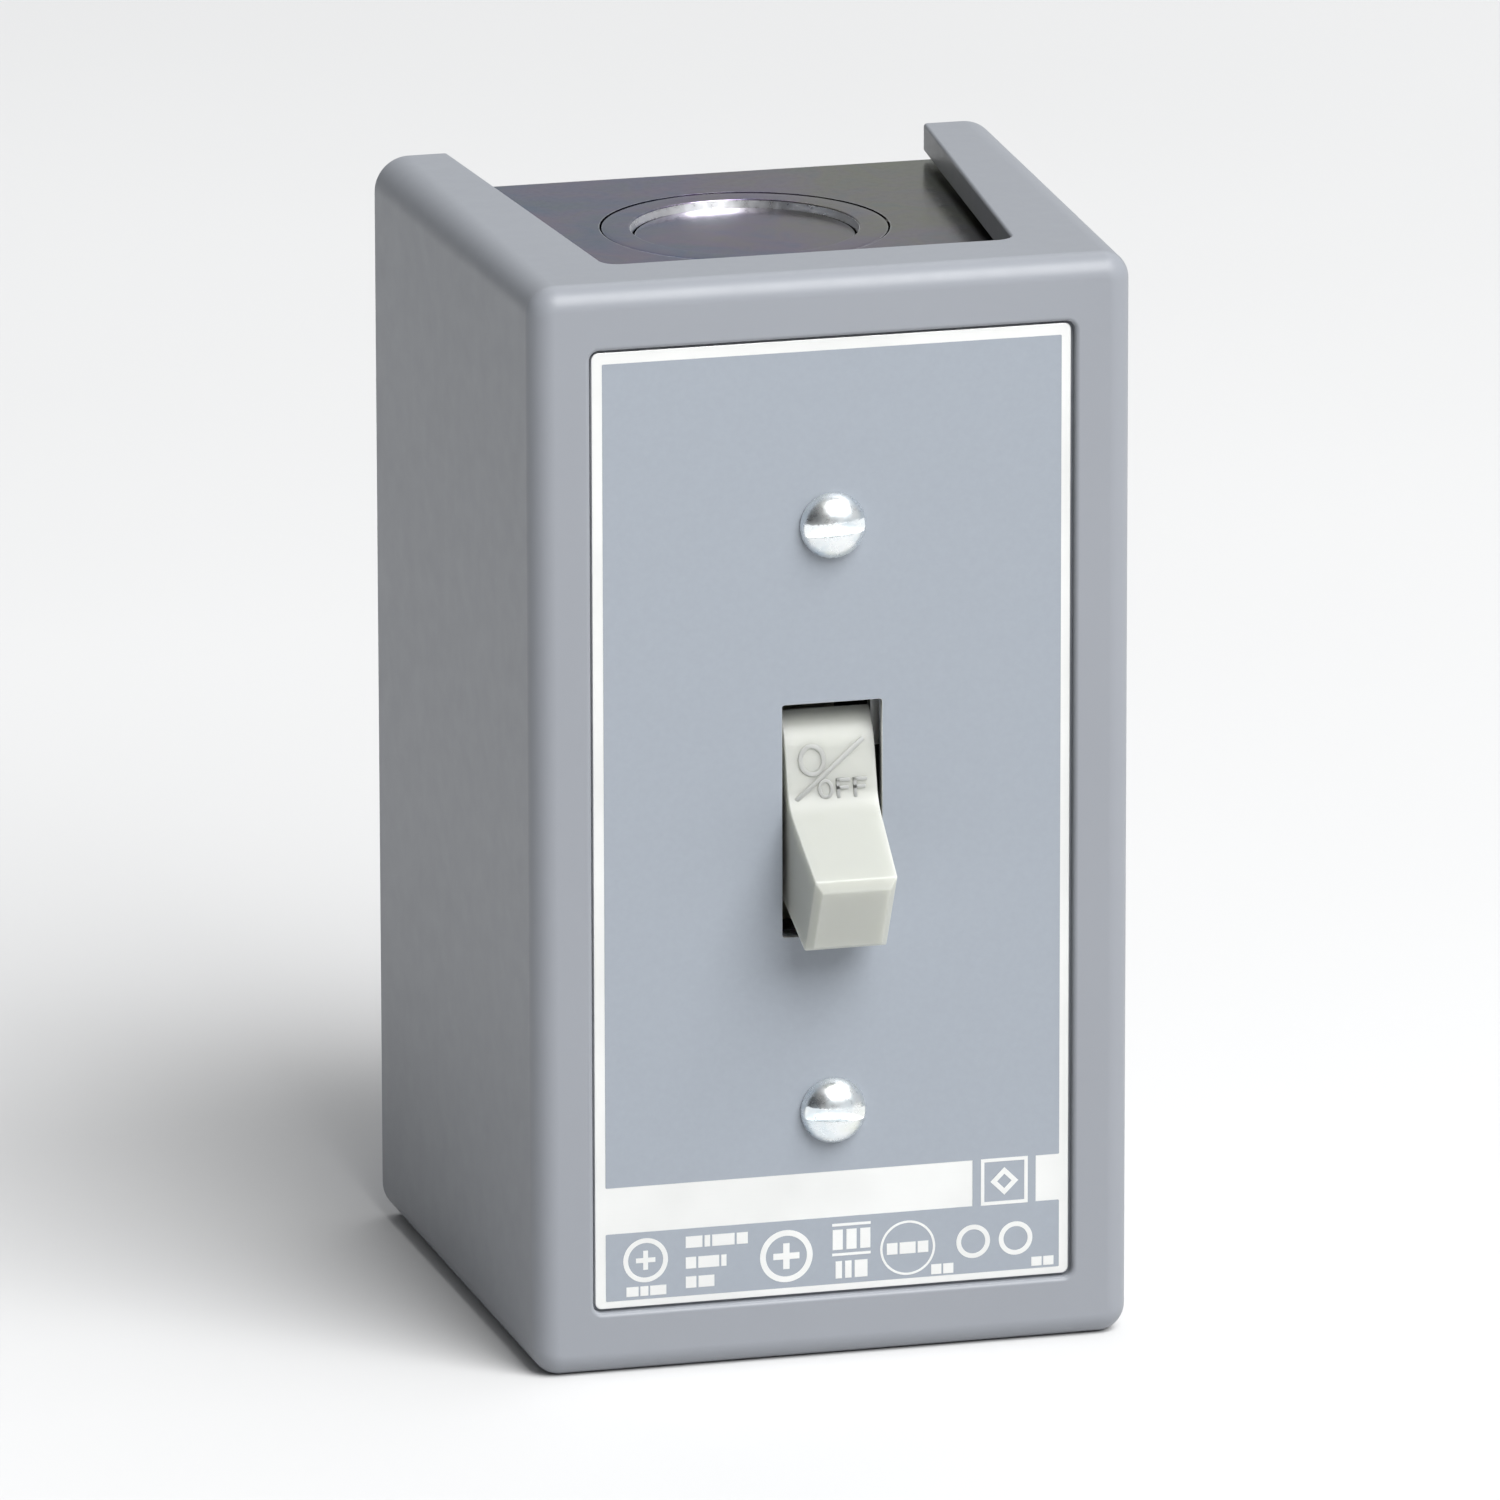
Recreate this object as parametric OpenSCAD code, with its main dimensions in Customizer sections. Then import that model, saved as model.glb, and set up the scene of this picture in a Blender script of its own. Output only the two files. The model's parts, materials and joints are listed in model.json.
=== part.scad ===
// Manual motor starting switch in a surface wall enclosure.
// A moulded cover over a folded steel box, with a three-pole toggle switch on a strap inside.
//
// Frame: the origin is the centre of the back plate's rear face, the face that lies on the wall.
// +Z is up, +X is to the right as seen from the front, and the front faces -Y.
// Rest is the OFF position, with the toggle pointing down.

/* [Cover] */
// Height of the cover
cover_h = 111.8; // [108:0.1:150]
// Width of the cover at its front face
cover_front_w = 61.2; // [58:0.1:90]
// How much wider the cover is at its rear rim
cover_flare = 4.0; // [0:0.1:6]
// Wall plane to the cover's front face
overall_depth = 59.2; // [54:0.1:80]
// Thickness of every wall of the cover
cover_wall = 3.0; // [2:0.1:3.4]
// Radius of the edges round the front face
front_edge_r = 2.4; // [1:0.1:4]
// Radius of the long edges at the rear rim
back_edge_r = 3.6; // [1:0.1:6]
// Gap between the cover's rim and the wall
rim_gap = 0.3; // [0:0.1:1]

/* [End cut-outs] */
// Width of each end cut-out at its front edge
cutout_front_w = 41.6; // [34:0.1:50]
// Width of each end cut-out at the rear rim
cutout_back_w = 49.9; // [40:0.1:58]
// Front face to the cut-out's front edge
cutout_setback = 9.2; // [7:0.1:14]
// Corner radius of each cut-out
cutout_corner_r = 1.8; // [0.5:0.1:4]

/* [Nameplate] */
// Width of the nameplate
plate_w = 48.9; // [40:0.1:50]
// Height of the nameplate
plate_h = 98.3; // [80:0.1:104]
// Thickness of the nameplate
plate_t = 0.5; // [0.3:0.1:1]
// Corner radius of the nameplate
plate_corner_r = 0.7; // [0.5:0.1:3]
// Cover's front face to the nameplate's face
plate_recess = 0.7; // [0.2:0.1:1]
// Gap round the nameplate in its pocket
plate_gap = 0.3; // [0.1:0.05:0.6]
// Gap between the toggle and each side of its slot
slot_side_gap = 0.5; // [0.4:0.05:1]
// Height of the toggle slot
slot_h = 23.9; // [23:0.1:30]

/* [Steel box] */
// Sheet thickness of the box
steel_t = 1.2; // [0.8:0.1:1.6]
// Gap between the cover's end walls and the box
end_gap = 0.6; // [0.3:0.1:1.5]
// Gap between the cover's side walls and the back plate at the rim
side_gap = 0.6; // [0.5:0.1:2]
// Gap between the cover's side walls and the box's end walls
end_side_gap = 1.1; // [0.8:0.1:4]
// Height of the lips along the back plate's sides
lip_h = 7.0; // [4:0.5:12]
// Width of the ears that carry the switch
ear_w = 15.0; // [12:0.5:20]
// Outer bend radius of the sheet
bend_r = 1.6; // [1.6:0.1:2.5]
// Radius of the four wall holes
wall_hole_r = 3.0; // [2:0.1:3.5]
// Spacing of the wall holes across
wall_hole_dx = 38.0; // [30:0.5:44]
// Spacing of the wall holes up and down
wall_hole_dz = 76.0; // [60:0.5:84]

/* [Knockouts] */
// Radius of the large knockout hole
ko_hole_r = 14.6; // [13:0.1:16]
// Radius of the ring's inner edge
ko_ring_in_r = 11.3; // [9:0.1:12]
// Sheared gap round each knockout piece
ko_gap = 0.18; // [0.1:0.02:0.4]
// How far the inner disc is pressed in
ko_disc_drop = 0.8; // [0:0.1:1]
// Width of the ties that hold the pieces
ko_tie_w = 2.0; // [1:0.1:4]
// Wall plane to the knockouts' centre
ko_back = 24.2; // [20:0.1:30]

/* [Strap] */
// Thickness of the mounting strap
strap_t = 1.4; // [1:0.1:2]
// Cover's front face to the strap's face
strap_setback = 4.6; // [4.4:0.1:5]
// Width of the strap's two tongues
tongue_w = 16.0; // [12:0.5:20]
// Spacing of the screws that hold the strap in the box
strap_screw_dz = 83.3; // [80:0.1:88]
// Spacing of the screws that hold the cover
cover_screw_dz = 60.3; // [56:0.1:62]
// Radius of the small screws' threads
screw_r = 1.75; // [1.5:0.05:1.9]
// Radius of the cover screws' round heads
round_head_r = 3.35; // [2.8:0.05:4]
// Height of the cover screws' round heads
round_head_h = 2.4; // [1.8:0.1:2.8]
// Width of the screwdriver slots
driver_slot_w = 1.2; // [0.8:0.1:1.4]

/* [Switch housing] */
// Cover's side wall to the housing, for the wires
wiring_gap = 7.6; // [7:0.1:12]
// Height of the switch housing
housing_h = 68.0; // [66:0.5:72]
// Length of the housing's front half
front_half_d = 14.0; // [13:0.1:16]
// Length of the housing's rear half
rear_half_d = 21.0; // [19:0.1:24]
// Wall thickness of the housing
housing_wall = 3.0; // [2:0.1:3.4]
// Height of the barriers between the terminals
barrier_h = 5.6; // [4:0.1:6.4]

/* [Toggle] */
// Width of the toggle handle at its root
toggle_w = 9.2; // [8:0.1:11.2]
// Width of the handle at its tip
toggle_tip_w = 8.4; // [6:0.1:9]
// Pivot to the handle's tip
toggle_reach = 17.7; // [15:0.05:22]
// Front face to the pivot axis
pivot_setback = 8.5; // [8:0.1:9]
// Half of the angle between OFF and ON
half_throw = 27.5; // [20:0.5:28]
// Radius of the pivot pin
pin_r = 1.6; // [1.2:0.05:1.9]
// Running clearance of the handle on its pin
pin_clear = 0.05; // [0.01:0.01:0.1]
// Pivot to the centre of the tail's round end
tail_reach = 7.0; // [5.8:0.01:7.2]
// Radius of the tail's round end
tail_r = 1.5; // [1.2:0.05:1.8]
// Clearance of the tail in the carrier's fork
fork_clear = 0.15; // [0.1:0.01:0.3]

/* [Contacts] */
// Distance between neighbouring poles
pole_pitch = 17.0; // [16:0.1:18]
// Width of the contact carrier
carrier_w = 9.0; // [8:0.1:10]
// Height of each window in the carrier
window_h = 9.0; // [8:0.1:9.5]
// Thickness of the copper strips
strip_t = 1.2; // [0.8:0.1:1.5]
// Depth of the copper strips
strip_d = 6.0; // [5:0.1:7]
// Spring overtravel after the contacts close
overtravel = 1.1; // [0.5:0.1:1.5]
// Gap left between closed contacts
closed_gap = 0.1; // [0.05:0.01:0.2]
// Height of the silver tips
tip_h = 1.0; // [0.5:0.1:1.2]
// Radius of the silver tips
tip_r = 2.3; // [1.5:0.1:2.5]
// Centre line to the silver tips
tip_x = 10.2; // [9.5:0.1:11]
// Radius of the terminal screws' heads
terminal_head_r = 3.8; // [3:0.1:4.2]

/* [Hidden] */

$fn = 64;
CORNER_STEPS = 8;
EDGE_STEPS = 6;
eps = 0.01;
past = 1;

// Colours
COVER_GREY = [0.62, 0.64, 0.67];
ALUMINIUM = [0.80, 0.82, 0.84];
ZINC = [0.78, 0.79, 0.80];
CHROMATE = [0.45, 0.44, 0.47];
IVORY = [0.89, 0.90, 0.86];
PHENOLIC = [0.09, 0.09, 0.10];
NYLON = [0.85, 0.83, 0.76];
COPPER = [0.74, 0.48, 0.30];
BRASS = [0.78, 0.64, 0.32];
SILVER = [0.86, 0.86, 0.85];
GREEN = [0.16, 0.50, 0.25];

// Depth planes, all on the -Y side of the wall
front_y = -overall_depth;
rim_y = -rim_gap;
plate_y = front_y + plate_recess;
pocket_y = plate_y + plate_t;
cover_inner_y = front_y + cover_wall;
strap_y = front_y + strap_setback;
ear_y = strap_y + strap_t;
pivot_y = front_y + pivot_setback;
split_y = ear_y + front_half_d;
housing_back_y = split_y + rear_half_d;

// Fits shared by several pieces
thread_fit = 0.03;
screw_play = 0.35;
screw_relief = 0.4;

// Cover and box outlines
cover_back_w = cover_front_w + cover_flare;
steel_h = cover_h - 2 * (cover_wall + end_gap);
back_plate_w = cover_back_w - 2 * (cover_wall + side_gap);
end_wall_w = cover_front_w - 2 * (cover_wall + end_side_gap);
slot_w = toggle_w + 2 * slot_side_gap;
slot_relief = 0.3;
boss_r = 4.2;
boss_gap = 0.05;
corner_notch = 4.0;
ear_past_screw = 5.2;
function cover_half_w(y) =
  (cover_front_w + (cover_back_w - cover_front_w) * (y - front_y) / (rim_y - front_y)) / 2;

// Switch housing
housing_w = cover_front_w - 2 * (cover_wall + wiring_gap);
housing_corner_r = 1.0;
housing_screw_r = 1.5;
housing_screw_x = housing_w / 2 - housing_wall;
housing_screw_z = housing_h / 2 - housing_wall;
post_r = housing_wall;
front_wall_t = 3.4;
floor_t = 3.0;
floor_y = split_y + 10.0;

// Toggle bearing and its spring
cheek_gap = 0.5;
cheek_w = 3.0;
cheek_half_h = 7.5;
cheek_in_x = toggle_w / 2 + cheek_gap;
cheek_end_y = pivot_y + 6.0;
flat_r = 3.3;
pin_fit = 0.02;
hub_r = flat_r / cos(half_throw);
leaf_t = 0.6;
leaf_clear = 0.1;
leaf_y = pivot_y + hub_r + leaf_clear;
leaf_half_h = 6.4;
leaf_bar_h = 1.4;
leaf_slot_half_w = 2.5;
leaf_grip = 2.0;
leaf_fit = 0.08;

// Contact carrier: its travel, and where it stands at OFF
tail_half_w = 2.0;
tail_neck = 0.9;
carrier_travel = 2 * tail_reach * sin(half_throw);
carrier_z = carrier_travel / 2;
carrier_half_h = 26.0;
carrier_front_y = split_y - 2.9;
carrier_back_y = floor_y - 0.4;
fork_mouth_y = pivot_y + tail_reach * cos(half_throw) - 0.7;
fork_wall = 1.6;
bridge_clear = 0.05;
window_clear = 0.3;
strip_gap = 0.25;
strip_y = split_y + strip_gap + strip_d / 2;
guide_clear = 0.25;
guide_w = 2.0;

// Pole heights relative to each pole's centre
window_bottom = carrier_z - window_h / 2;
window_top = carrier_z + window_h / 2;
bridge_bottom = window_bottom + bridge_clear;
bridge_top = bridge_bottom + strip_t;
fixed_tip_top = bridge_bottom - tip_h - (carrier_travel - overtravel) - closed_gap;
strip_top = fixed_tip_top - tip_h;
strip_bottom = strip_top - strip_t;
tip_margin = 0.4;
bridge_half_l = tip_x + tip_r + tip_margin;
strip_in_x = tip_x - tip_r - tip_margin;
pad_h = 9.0;
pad_d = rear_half_d - strip_gap - 2.0;
terminal_y = split_y + rear_half_d - 7.0;
terminal_z = strip_bottom + pad_h / 2;
terminal_screw_r = 1.9;
terminal_screw_l = 8.0;
terminal_head_h = 2.2;
clamp_t = 1.0;
clamp_size = 8.0;
barrier_t = 1.6;

// Contact springs
spring_r = 1.9;
spring_wire_r = 0.35;
spring_turns = 5;
spring_seat_gap = 0.03;

POLES = [1, 0, -1];
SIDES = [-1, 1];
function pole_z(pole) = pole * pole_pitch;

// ---------------------------------------------------------------- helpers

// A box centred on x, from y0 to y1 and z0 to z1
module slab(w, y0, y1, z0, z1) {
  translate([-w / 2, y0, z0]) cube([w, y1 - y0, z1 - z0]);
}

// A cylinder along +Y from y0 to y1
module rod_y(r, y0, y1, x = 0, z = 0) {
  translate([x, y1, z]) rotate([90, 0, 0]) cylinder(r = r, h = y1 - y0);
}

// A cylinder along +X from x0 to x1
module rod_x(r, x0, x1, y = 0, z = 0) {
  translate([x0, y, z]) rotate([0, 90, 0]) cylinder(r = r, h = x1 - x0);
}

// A rectangle in X and Z with round corners, from y0 to y1
module rounded_plate(w, h, r, y0, y1) {
  slab(w - 2 * r, y0, y1, -h / 2, h / 2);
  slab(w, y0, y1, r - h / 2, h / 2 - r);
  for (sx = SIDES, sz = SIDES) rod_y(r, y0, y1, sx * (w / 2 - r), sz * (h / 2 - r));
}

// What is cut from a square edge along X to round it, at [y, z], opening towards sy, sz
module edge_round(r, l, y, z, sy, sz) {
  difference() {
    translate([-l / 2, y - (sy > 0 ? r : past), z - (sz > 0 ? r : past)])
      cube([l, r + past, r + past]);
    rod_x(r, -l / 2 - past, l / 2 + past, y - sy * r, z - sz * r);
  }
}

// Points of an arc in the plane
function arc(c, r, a0, a1, n) = [for (i = [0 : n])
  let (a = a0 + (a1 - a0) * i / n) [c[0] + r * cos(a), c[1] + r * sin(a)]];

// Points of a quadratic curve from a to c, drawn towards b
function curve(a, b, c, n) = [for (i = [0 : n])
  let (t = i / n) (1 - t) * (1 - t) * a + 2 * t * (1 - t) * b + t * t * c];

// A slotted round or pan head: a cap of a sphere, its flat side at z = 0
module slotted_head(r, h, slot_w, slot_d) {
  ball_r = (r * r + h * h) / (2 * h);
  difference() {
    intersection() {
      translate([0, 0, h - ball_r]) sphere(r = ball_r, $fn = 96);
      cylinder(r = r + past, h = h + past);
    }
    translate([-r - past, -slot_w / 2, h - slot_d]) cube([2 * (r + past), slot_w, slot_d + past]);
  }
}

// A screw along +Y: its head stands out towards -Y from y, and its thread ends at y_end
module front_screw(x, z, y, y_end, head_r, head_h, thread_r, slot_turn = 0) {
  translate([x, y, z]) rotate([90, 0, 0]) rotate([0, 0, slot_turn])
    slotted_head(head_r, head_h, driver_slot_w, head_h * 0.55);
  rod_y(thread_r, y - eps, y_end, x, z);
}

// ---------------------------------------------------------------- enclosure

// A ring of points at y: a rectangle of half sizes hw and hh with corners of radius r
function ring(hw, hh, r, y) = [for (c = [0 : 3]) let (
    sx = (c == 0 || c == 3) ? 1 : -1, sz = c < 2 ? 1 : -1)
  each [for (i = [0 : CORNER_STEPS]) let (a = 90 * (c + i / CORNER_STEPS))
    [sx * (hw - r) + r * cos(a), y, sz * (hh - r) + r * sin(a)]]];

// A closed solid through rings listed from front to back
module loft(rings) {
  n = len(rings[0]);
  last = len(rings) - 1;
  skin = [for (i = [0 : last - 1], j = [0 : n - 1]) let (k = (j + 1) % n)
    each [[i * n + j, i * n + k, (i + 1) * n + k], [i * n + j, (i + 1) * n + k, (i + 1) * n + j]]];
  front = [for (j = [n - 1 : -1 : 0]) j];
  back = [for (j = [0 : n - 1]) last * n + j];
  polyhedron(points = [for (r = rings) each r], faces = concat(skin, [front], [back]),
             convexity = 4);
}

// The cover's outside, with rounded edges round its front
module cover_outside() {
  function corner_r(y) = front_edge_r + 0.4
    + (back_edge_r - front_edge_r - 0.4) * (y - front_y) / (rim_y - front_y);
  rounded = [for (i = [0 : EDGE_STEPS]) let (t = 90 * i / EDGE_STEPS,
      inset = front_edge_r * (1 - sin(t)), y = front_y + front_edge_r * (1 - cos(t)))
    ring(cover_half_w(y) - inset, cover_h / 2 - inset, corner_r(y) - inset, y)];
  loft(concat(rounded, [ring(cover_back_w / 2, cover_h / 2, back_edge_r, rim_y)]));
}

// The cover's inside, open past the rim
module cover_inside() {
  half_h = cover_h / 2 - cover_wall;
  y_end = rim_y + past;
  loft([ring(cover_half_w(cover_inner_y) - cover_wall, half_h, 1, cover_inner_y),
        ring(cover_half_w(y_end) - cover_wall, half_h, 1, y_end)]);
}

// The cut-out's outline: a trapezium, wider at the rear, with its front corners rounded
module cutout_outline() {
  y0 = front_y + cutout_setback;
  slope = (cutout_back_w - cutout_front_w) / 2 / (rim_y - y0);
  lean = atan(slope);
  cy = y0 + cutout_corner_r;
  cx = cutout_front_w / 2 + slope * (cy - y0) - cutout_corner_r / cos(lean);
  right = concat(arc([cx, cy], cutout_corner_r, -90, -lean, 8),
                 [[cutout_back_w / 2 + slope * past, rim_y + past]]);
  left = [for (i = [len(right) - 1 : -1 : 0]) [-right[i][0], right[i][1]]];
  polygon(concat(right, left));
}

module cover() {
  color(COVER_GREY) difference() {
    union() {
      difference() {
        cover_outside();
        cover_inside();
      }
      for (s = SIDES)
        rod_y(boss_r, cover_inner_y - eps, strap_y - boss_gap, 0, s * cover_screw_dz / 2);
    }
    rounded_plate(plate_w + 2 * plate_gap, plate_h + 2 * plate_gap, plate_corner_r + plate_gap,
                  front_y - past, pocket_y);
    slab(slot_w + 2 * slot_relief, front_y, cover_inner_y + past,
         -slot_h / 2 - slot_relief, slot_h / 2 + slot_relief);
    for (s = SIDES)
      rod_y(screw_r + screw_play, front_y, strap_y + past, 0, s * cover_screw_dz / 2);
    for (s = SIDES)
      translate([0, 0, s > 0 ? cover_h / 2 - cover_wall - eps : -cover_h / 2 - past])
        linear_extrude(cover_wall + eps + past) cutout_outline();
  }
}

module nameplate() {
  color(ALUMINIUM) difference() {
    rounded_plate(plate_w, plate_h, plate_corner_r, plate_y, pocket_y);
    slab(slot_w, plate_y - past, pocket_y + past, -slot_h / 2, slot_h / 2);
    for (s = SIDES)
      rod_y(screw_r + screw_play, plate_y - past, pocket_y + past, 0, s * cover_screw_dz / 2);
  }
}

module cover_screws() {
  past_strap = 2.2;
  upper_turn = 5;
  color(ZINC) for (s = SIDES)
    front_screw(0, s * cover_screw_dz / 2, plate_y, ear_y + past_strap, round_head_r,
                round_head_h, screw_r, s > 0 ? upper_turn : 0);
}

// One end of the box, on the top: the end wall, its ear and the bend to the back plate
module box_end() {
  top = steel_h / 2;
  difference() {
    union() {
      slab(end_wall_w, ear_y + steel_t, 0, top - steel_t, top);
      slab(ear_w, ear_y, ear_y + steel_t + eps, strap_screw_dz / 2 - ear_past_screw, top);
    }
    edge_round(bend_r, end_wall_w + past, 0, top, 1, 1);
    edge_round(steel_t, ear_w + past, ear_y, top, -1, 1);
    rod_y(screw_r + thread_fit, ear_y - past, ear_y + steel_t + past, 0, strap_screw_dz / 2);
    translate([0, -ko_back, top - steel_t - past]) cylinder(r = ko_hole_r, h = steel_t + 2 * past);
  }
}

ground_x = 15.0;
ground_z = -24.0;
ground_screw_r = 2.4;
dimple_r = 6.2;
dimple_h = 2.6;

module back_box() {
  hole_z = wall_hole_dz / 2;
  side_h = steel_h - 2 * corner_notch;
  color(CHROMATE) {
    difference() {
      union() {
        slab(end_wall_w, -steel_t, 0, -steel_h / 2, steel_h / 2);
        slab(back_plate_w, -steel_t, 0, -side_h / 2, side_h / 2);
        for (s = SIDES)
          translate([s * (back_plate_w - steel_t) / 2, 0, 0])
            slab(steel_t, -lip_h, 0, -side_h / 2, side_h / 2);
        rod_y(dimple_r, -steel_t - dimple_h, -steel_t + eps, ground_x, ground_z);
      }
      edge_round(bend_r, end_wall_w + past, 0, steel_h / 2, 1, 1);
      edge_round(bend_r, end_wall_w + past, 0, -steel_h / 2, 1, -1);
      for (sx = SIDES, sz = SIDES)
        rod_y(wall_hole_r, -steel_t - past, past, sx * wall_hole_dx / 2, sz * hole_z);
      rod_y(dimple_r - steel_t, -dimple_h, past, ground_x, ground_z);
      rod_y(ground_screw_r + thread_fit, -dimple_h - steel_t - past, past, ground_x, ground_z);
    }
    box_end();
    mirror([0, 0, 1]) box_end();
  }
}

// Ties between a knockout piece and what surrounds it, clipped to radius r
module ko_ties(r_in, r, turn, h) {
  intersection() {
    cylinder(r = r, h = h);
    rotate([0, 0, turn]) for (a = [0, 180]) rotate([0, 0, a])
      translate([r_in - 0.5, -ko_tie_w / 2, 0]) cube([r - r_in + past, ko_tie_w, h]);
  }
}

module knockout_ring() {
  color(CHROMATE) translate([0, -ko_back, steel_h / 2 - steel_t]) {
    difference() {
      cylinder(r = ko_hole_r - ko_gap, h = steel_t);
      translate([0, 0, -past]) cylinder(r = ko_ring_in_r, h = steel_t + 2 * past);
    }
    ko_ties(ko_hole_r - ko_gap, ko_hole_r, 0, steel_t / 2);
  }
}

module knockout_disc() {
  color(CHROMATE) translate([0, -ko_back, steel_h / 2 - steel_t - ko_disc_drop]) {
    cylinder(r = ko_ring_in_r - ko_gap, h = steel_t);
    translate([0, 0, ko_disc_drop])
      ko_ties(ko_ring_in_r - ko_gap, ko_ring_in_r, 90, steel_t - ko_disc_drop);
  }
}

module knockout_ring_top() knockout_ring();
module knockout_disc_top() knockout_disc();
module knockout_ring_bottom() mirror([0, 0, 1]) knockout_ring();
module knockout_disc_bottom() mirror([0, 0, 1]) knockout_disc();

// A washer-faced hexagon head with a slot, and a thread that ends short of the wall
module ground_screw() {
  seat_y = -steel_t - dimple_h;
  washer_r = 5.0;
  washer_t = 0.8;
  hex_r = 4.4;
  hex_h = 2.6;
  slot_d = 1.4;
  wall_clear = 0.4;
  color(GREEN) difference() {
    union() {
      rod_y(washer_r, seat_y - washer_t, seat_y, ground_x, ground_z);
      translate([ground_x, seat_y - washer_t + eps, ground_z]) rotate([90, 30, 0])
        cylinder(r = hex_r, h = hex_h, $fn = 6);
      rod_y(ground_screw_r, seat_y - eps, -wall_clear, ground_x, ground_z);
    }
    translate([ground_x - washer_r - past, seat_y - washer_t - hex_h - past,
               ground_z - driver_slot_w / 2])
      cube([2 * (washer_r + past), past + slot_d, driver_slot_w]);
  }
}

// ---------------------------------------------------------------- switch

module mounting_strap() {
  tongue_end = steel_h / 2 - 2.3;
  body_w = housing_w - 2;
  window_half_h = slot_h / 2 + 1;
  window_w = toggle_w + 0.7;
  cheek_window_w = window_w + 5.6;
  cheek_window_half_h = 6.2;
  color(ZINC) difference() {
    union() {
      slab(body_w, strap_y, ear_y, -housing_h / 2, housing_h / 2);
      slab(tongue_w, strap_y, ear_y, -tongue_end, tongue_end);
    }
    slab(window_w, strap_y - past, ear_y + past, -window_half_h, window_half_h);
    slab(cheek_window_w, strap_y - past, ear_y + past,
         -cheek_window_half_h, cheek_window_half_h);
    for (s = SIDES) {
      rod_y(screw_r + thread_fit, strap_y - past, ear_y + past, 0, s * cover_screw_dz / 2);
      rod_y(screw_r + screw_play, strap_y - past, ear_y + past, 0, s * strap_screw_dz / 2);
    }
    for (sx = SIDES, sz = SIDES)
      rod_y(housing_screw_r + thread_fit, strap_y - past, ear_y + past,
            sx * housing_screw_x, sz * housing_screw_z);
  }
}

module strap_screws() {
  head_r = 3.0;
  head_h = 1.4;
  past_strap = 6.5;
  color(ZINC) for (s = SIDES)
    front_screw(0, s * strap_screw_dz / 2, strap_y, ear_y + past_strap, head_r, head_h, screw_r,
                90);
}

// One half of the housing as a block with round corners
module housing_block(y0, y1) {
  rounded_plate(housing_w, housing_h, housing_corner_r, y0, y1);
}

// The chamber inside a half, less the posts for the housing's screws
module housing_chamber(y0, y1) {
  difference() {
    slab(housing_w - 2 * housing_wall, y0, y1,
         housing_wall - housing_h / 2, housing_h / 2 - housing_wall);
    for (sx = SIDES, sz = SIDES)
      rod_y(post_r, y0 - past, y1 + past, sx * housing_screw_x, sz * housing_screw_z);
  }
}

module housing_screw_holes(y0, y1) {
  for (sx = SIDES, sz = SIDES)
    rod_y(housing_screw_r + 0.15, y0, y1, sx * housing_screw_x, sz * housing_screw_z);
}

module front_housing() {
  wall_y = ear_y + front_wall_t;
  opening_h = slot_h + 1.4;
  screw_pit_d = 2.6;
  color(PHENOLIC) difference() {
    union() {
      difference() {
        housing_block(ear_y, split_y);
        housing_chamber(wall_y, split_y + past);
        slab(2 * cheek_in_x, ear_y - past, wall_y + past, -opening_h / 2, opening_h / 2);
      }
      for (s = SIDES)
        translate([s * (cheek_in_x + cheek_w / 2), 0, 0])
          slab(cheek_w, ear_y, cheek_end_y, -cheek_half_h, cheek_half_h);
    }
    rod_x(pin_r + pin_fit, -cheek_in_x - cheek_w - past, cheek_in_x + cheek_w + past, pivot_y);
    for (s = SIDES)
      slab(2 * (cheek_in_x + leaf_grip + leaf_fit), leaf_y - leaf_fit, leaf_y + leaf_t + leaf_fit,
           s * (leaf_half_h - leaf_bar_h / 2) - leaf_bar_h / 2 - leaf_fit,
           s * (leaf_half_h - leaf_bar_h / 2) + leaf_bar_h / 2 + leaf_fit);
    for (s = SIDES)
      rod_y(screw_r + screw_relief, ear_y - past, ear_y + screw_pit_d, 0, s * cover_screw_dz / 2);
    housing_screw_holes(ear_y - past, split_y + past);
  }
}

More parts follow.
